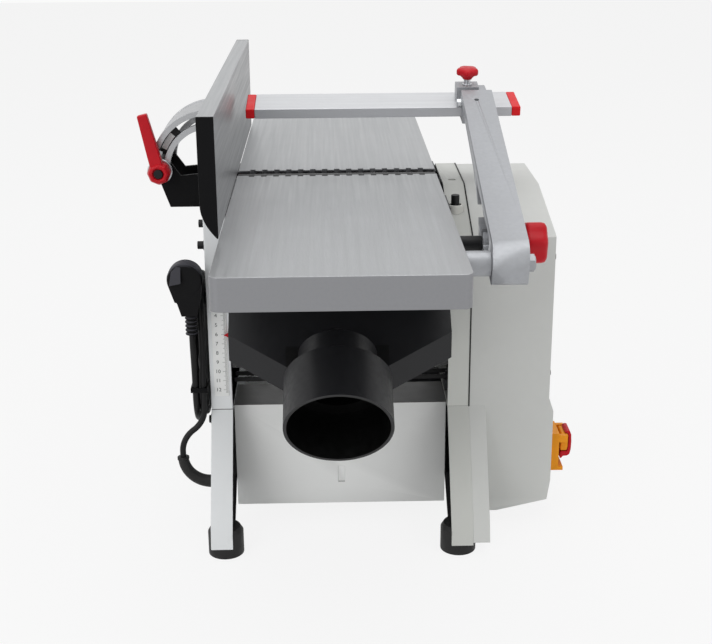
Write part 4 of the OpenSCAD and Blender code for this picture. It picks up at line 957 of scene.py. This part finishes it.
def make_cover_screws():
    """Round socket screws on washers."""
    bm = bmesh.new()
    for x, y, z in SIDE_SCREWS:
        turned(bm, [(5.4, -0.2), (5.4, 0.5), (4.9, 0.9), (3.9, 1.0)], (x, y, z), RIGHTWARD, 40)
        turned(bm, [(3.9, 0), (3.9, 1.4), (3.3, 2.2), (1.9, 2.5)], (x + 0.4, y, z), RIGHTWARD, 40)
        turned(bm, [(1.9, 0), (1.9, 0.2), (0.2, 0.3)], (x + 1.6, y, z), RIGHTWARD, 6)
    screws = from_bmesh("cover_screws", bm, black_coat_and_shade, "frame")
    soften(screws, 0.2, 2)


def make_louvres():
    """Rows of small hoods over the cooling slots."""
    bm = bmesh.new()
    for row in range(LOUVRE_ROWS):
        foot = LOUVRE_Z + LOUVRE_PITCH * row
        prism(bm, [(x, foot + z) for x, z in LOUVRE_OUTLINE], *LOUVRE_Y)
    louvres = from_bmesh("cover_louvres", bm, cover_paint, "frame")
    soften(louvres, 0.5)


make_gasket()
make_cover_screws()
make_louvres()


# Floor, light and background
FLOOR_HALF = 6.0
FLOOR_GREY = (0.85, 0.85, 0.85, 1)
FLOOR_GLOW = (0.96, 0.96, 0.96, 1)
FLOOR_GLOW_SHARE = 0.90
WORLD_WHITE = (1, 1, 1, 1)
WORLD_LIGHT = 0.42
BACKDROP = (0.955, 0.955, 0.955, 1)
LAMP_AIM = (0, 0, 0.2)
LAMPS = (
    ("top_softbox", (0.1, -0.1, 2.4), 2.2, 27),
    ("front_left_softbox", (-1.7, -2.1, 1.4), 1.6, 23),
    ("front_right_fill", (1.9, -1.8, 1.2), 1.6, 10),
)


def seen_ray(tree, share):
    """share for rays from the camera, from gloss or through glass, otherwise 0."""
    path = tree.nodes.new("ShaderNodeLightPath")
    total = path.outputs["Is Camera Ray"]
    for ray in ("Is Glossy Ray", "Is Transmission Ray"):
        most = tree.nodes.new("ShaderNodeMath")
        most.operation = "MAXIMUM"
        tree.links.new(total, most.inputs[0])
        tree.links.new(path.outputs[ray], most.inputs[1])
        total = most.outputs[0]
    scaled = tree.nodes.new("ShaderNodeMath")
    scaled.operation = "MULTIPLY"
    scaled.inputs[1].default_value = share
    tree.links.new(total, scaled.inputs[0])
    return scaled.outputs[0]


def blend_by_ray(tree, output, lit, seen, share):
    """One shader for the light that a surface gives, another where it is seen."""
    out = tree.nodes.new(output)
    blend = tree.nodes.new("ShaderNodeMixShader")
    tree.links.new(seen_ray(tree, share), blend.inputs["Fac"])
    tree.links.new(lit.outputs[0], blend.inputs[1])
    tree.links.new(seen.outputs[0], blend.inputs[2])
    tree.links.new(blend.outputs[0], out.inputs["Surface"])


def make_stage():
    """Pale floor under the feet."""
    bm = bmesh.new()
    bmesh.ops.create_grid(bm, x_segments=1, y_segments=1, size=FLOOR_HALF)
    mesh = bpy.data.meshes.new("floor")
    bm.to_mesh(mesh)
    bm.free()
    floor = bpy.data.objects.new("floor", mesh)
    bpy.context.scene.collection.objects.link(floor)
    mat = bpy.data.materials.new("pale_floor")
    mat.use_nodes = True
    tree = mat.node_tree
    tree.nodes.clear()
    matt = tree.nodes.new("ShaderNodeBsdfDiffuse")
    matt.inputs["Color"].default_value = FLOOR_GREY
    glow = tree.nodes.new("ShaderNodeEmission")
    glow.inputs["Color"].default_value = FLOOR_GLOW
    blend_by_ray(tree, "ShaderNodeOutputMaterial", matt, glow, FLOOR_GLOW_SHARE)
    mesh.materials.append(mat)


def make_world():
    """Even light from all round, with a pale backdrop where it is seen."""
    world = bpy.data.worlds.new("studio")
    bpy.context.scene.world = world
    world.use_nodes = True
    tree = world.node_tree
    tree.nodes.clear()
    lit = tree.nodes.new("ShaderNodeBackground")
    lit.inputs["Color"].default_value = WORLD_WHITE
    lit.inputs["Strength"].default_value = WORLD_LIGHT
    seen = tree.nodes.new("ShaderNodeBackground")
    seen.inputs["Color"].default_value = BACKDROP
    blend_by_ray(tree, "ShaderNodeOutputWorld", lit, seen, 1.0)


def make_lamp(name, at, size, watts):
    """Square soft lamp aimed at the machine."""
    data = bpy.data.lights.new(name, "AREA")
    data.size = size
    data.energy = watts
    lamp = bpy.data.objects.new(name, data)
    bpy.context.scene.collection.objects.link(lamp)
    lamp.location = at
    lamp.rotation_euler = (Vector(LAMP_AIM) - Vector(at)).to_track_quat("-Z", "Y").to_euler()


make_stage()
make_world()
for lamp_values in LAMPS:
    make_lamp(*lamp_values)
bpy.context.scene.view_settings.view_transform = "Standard"
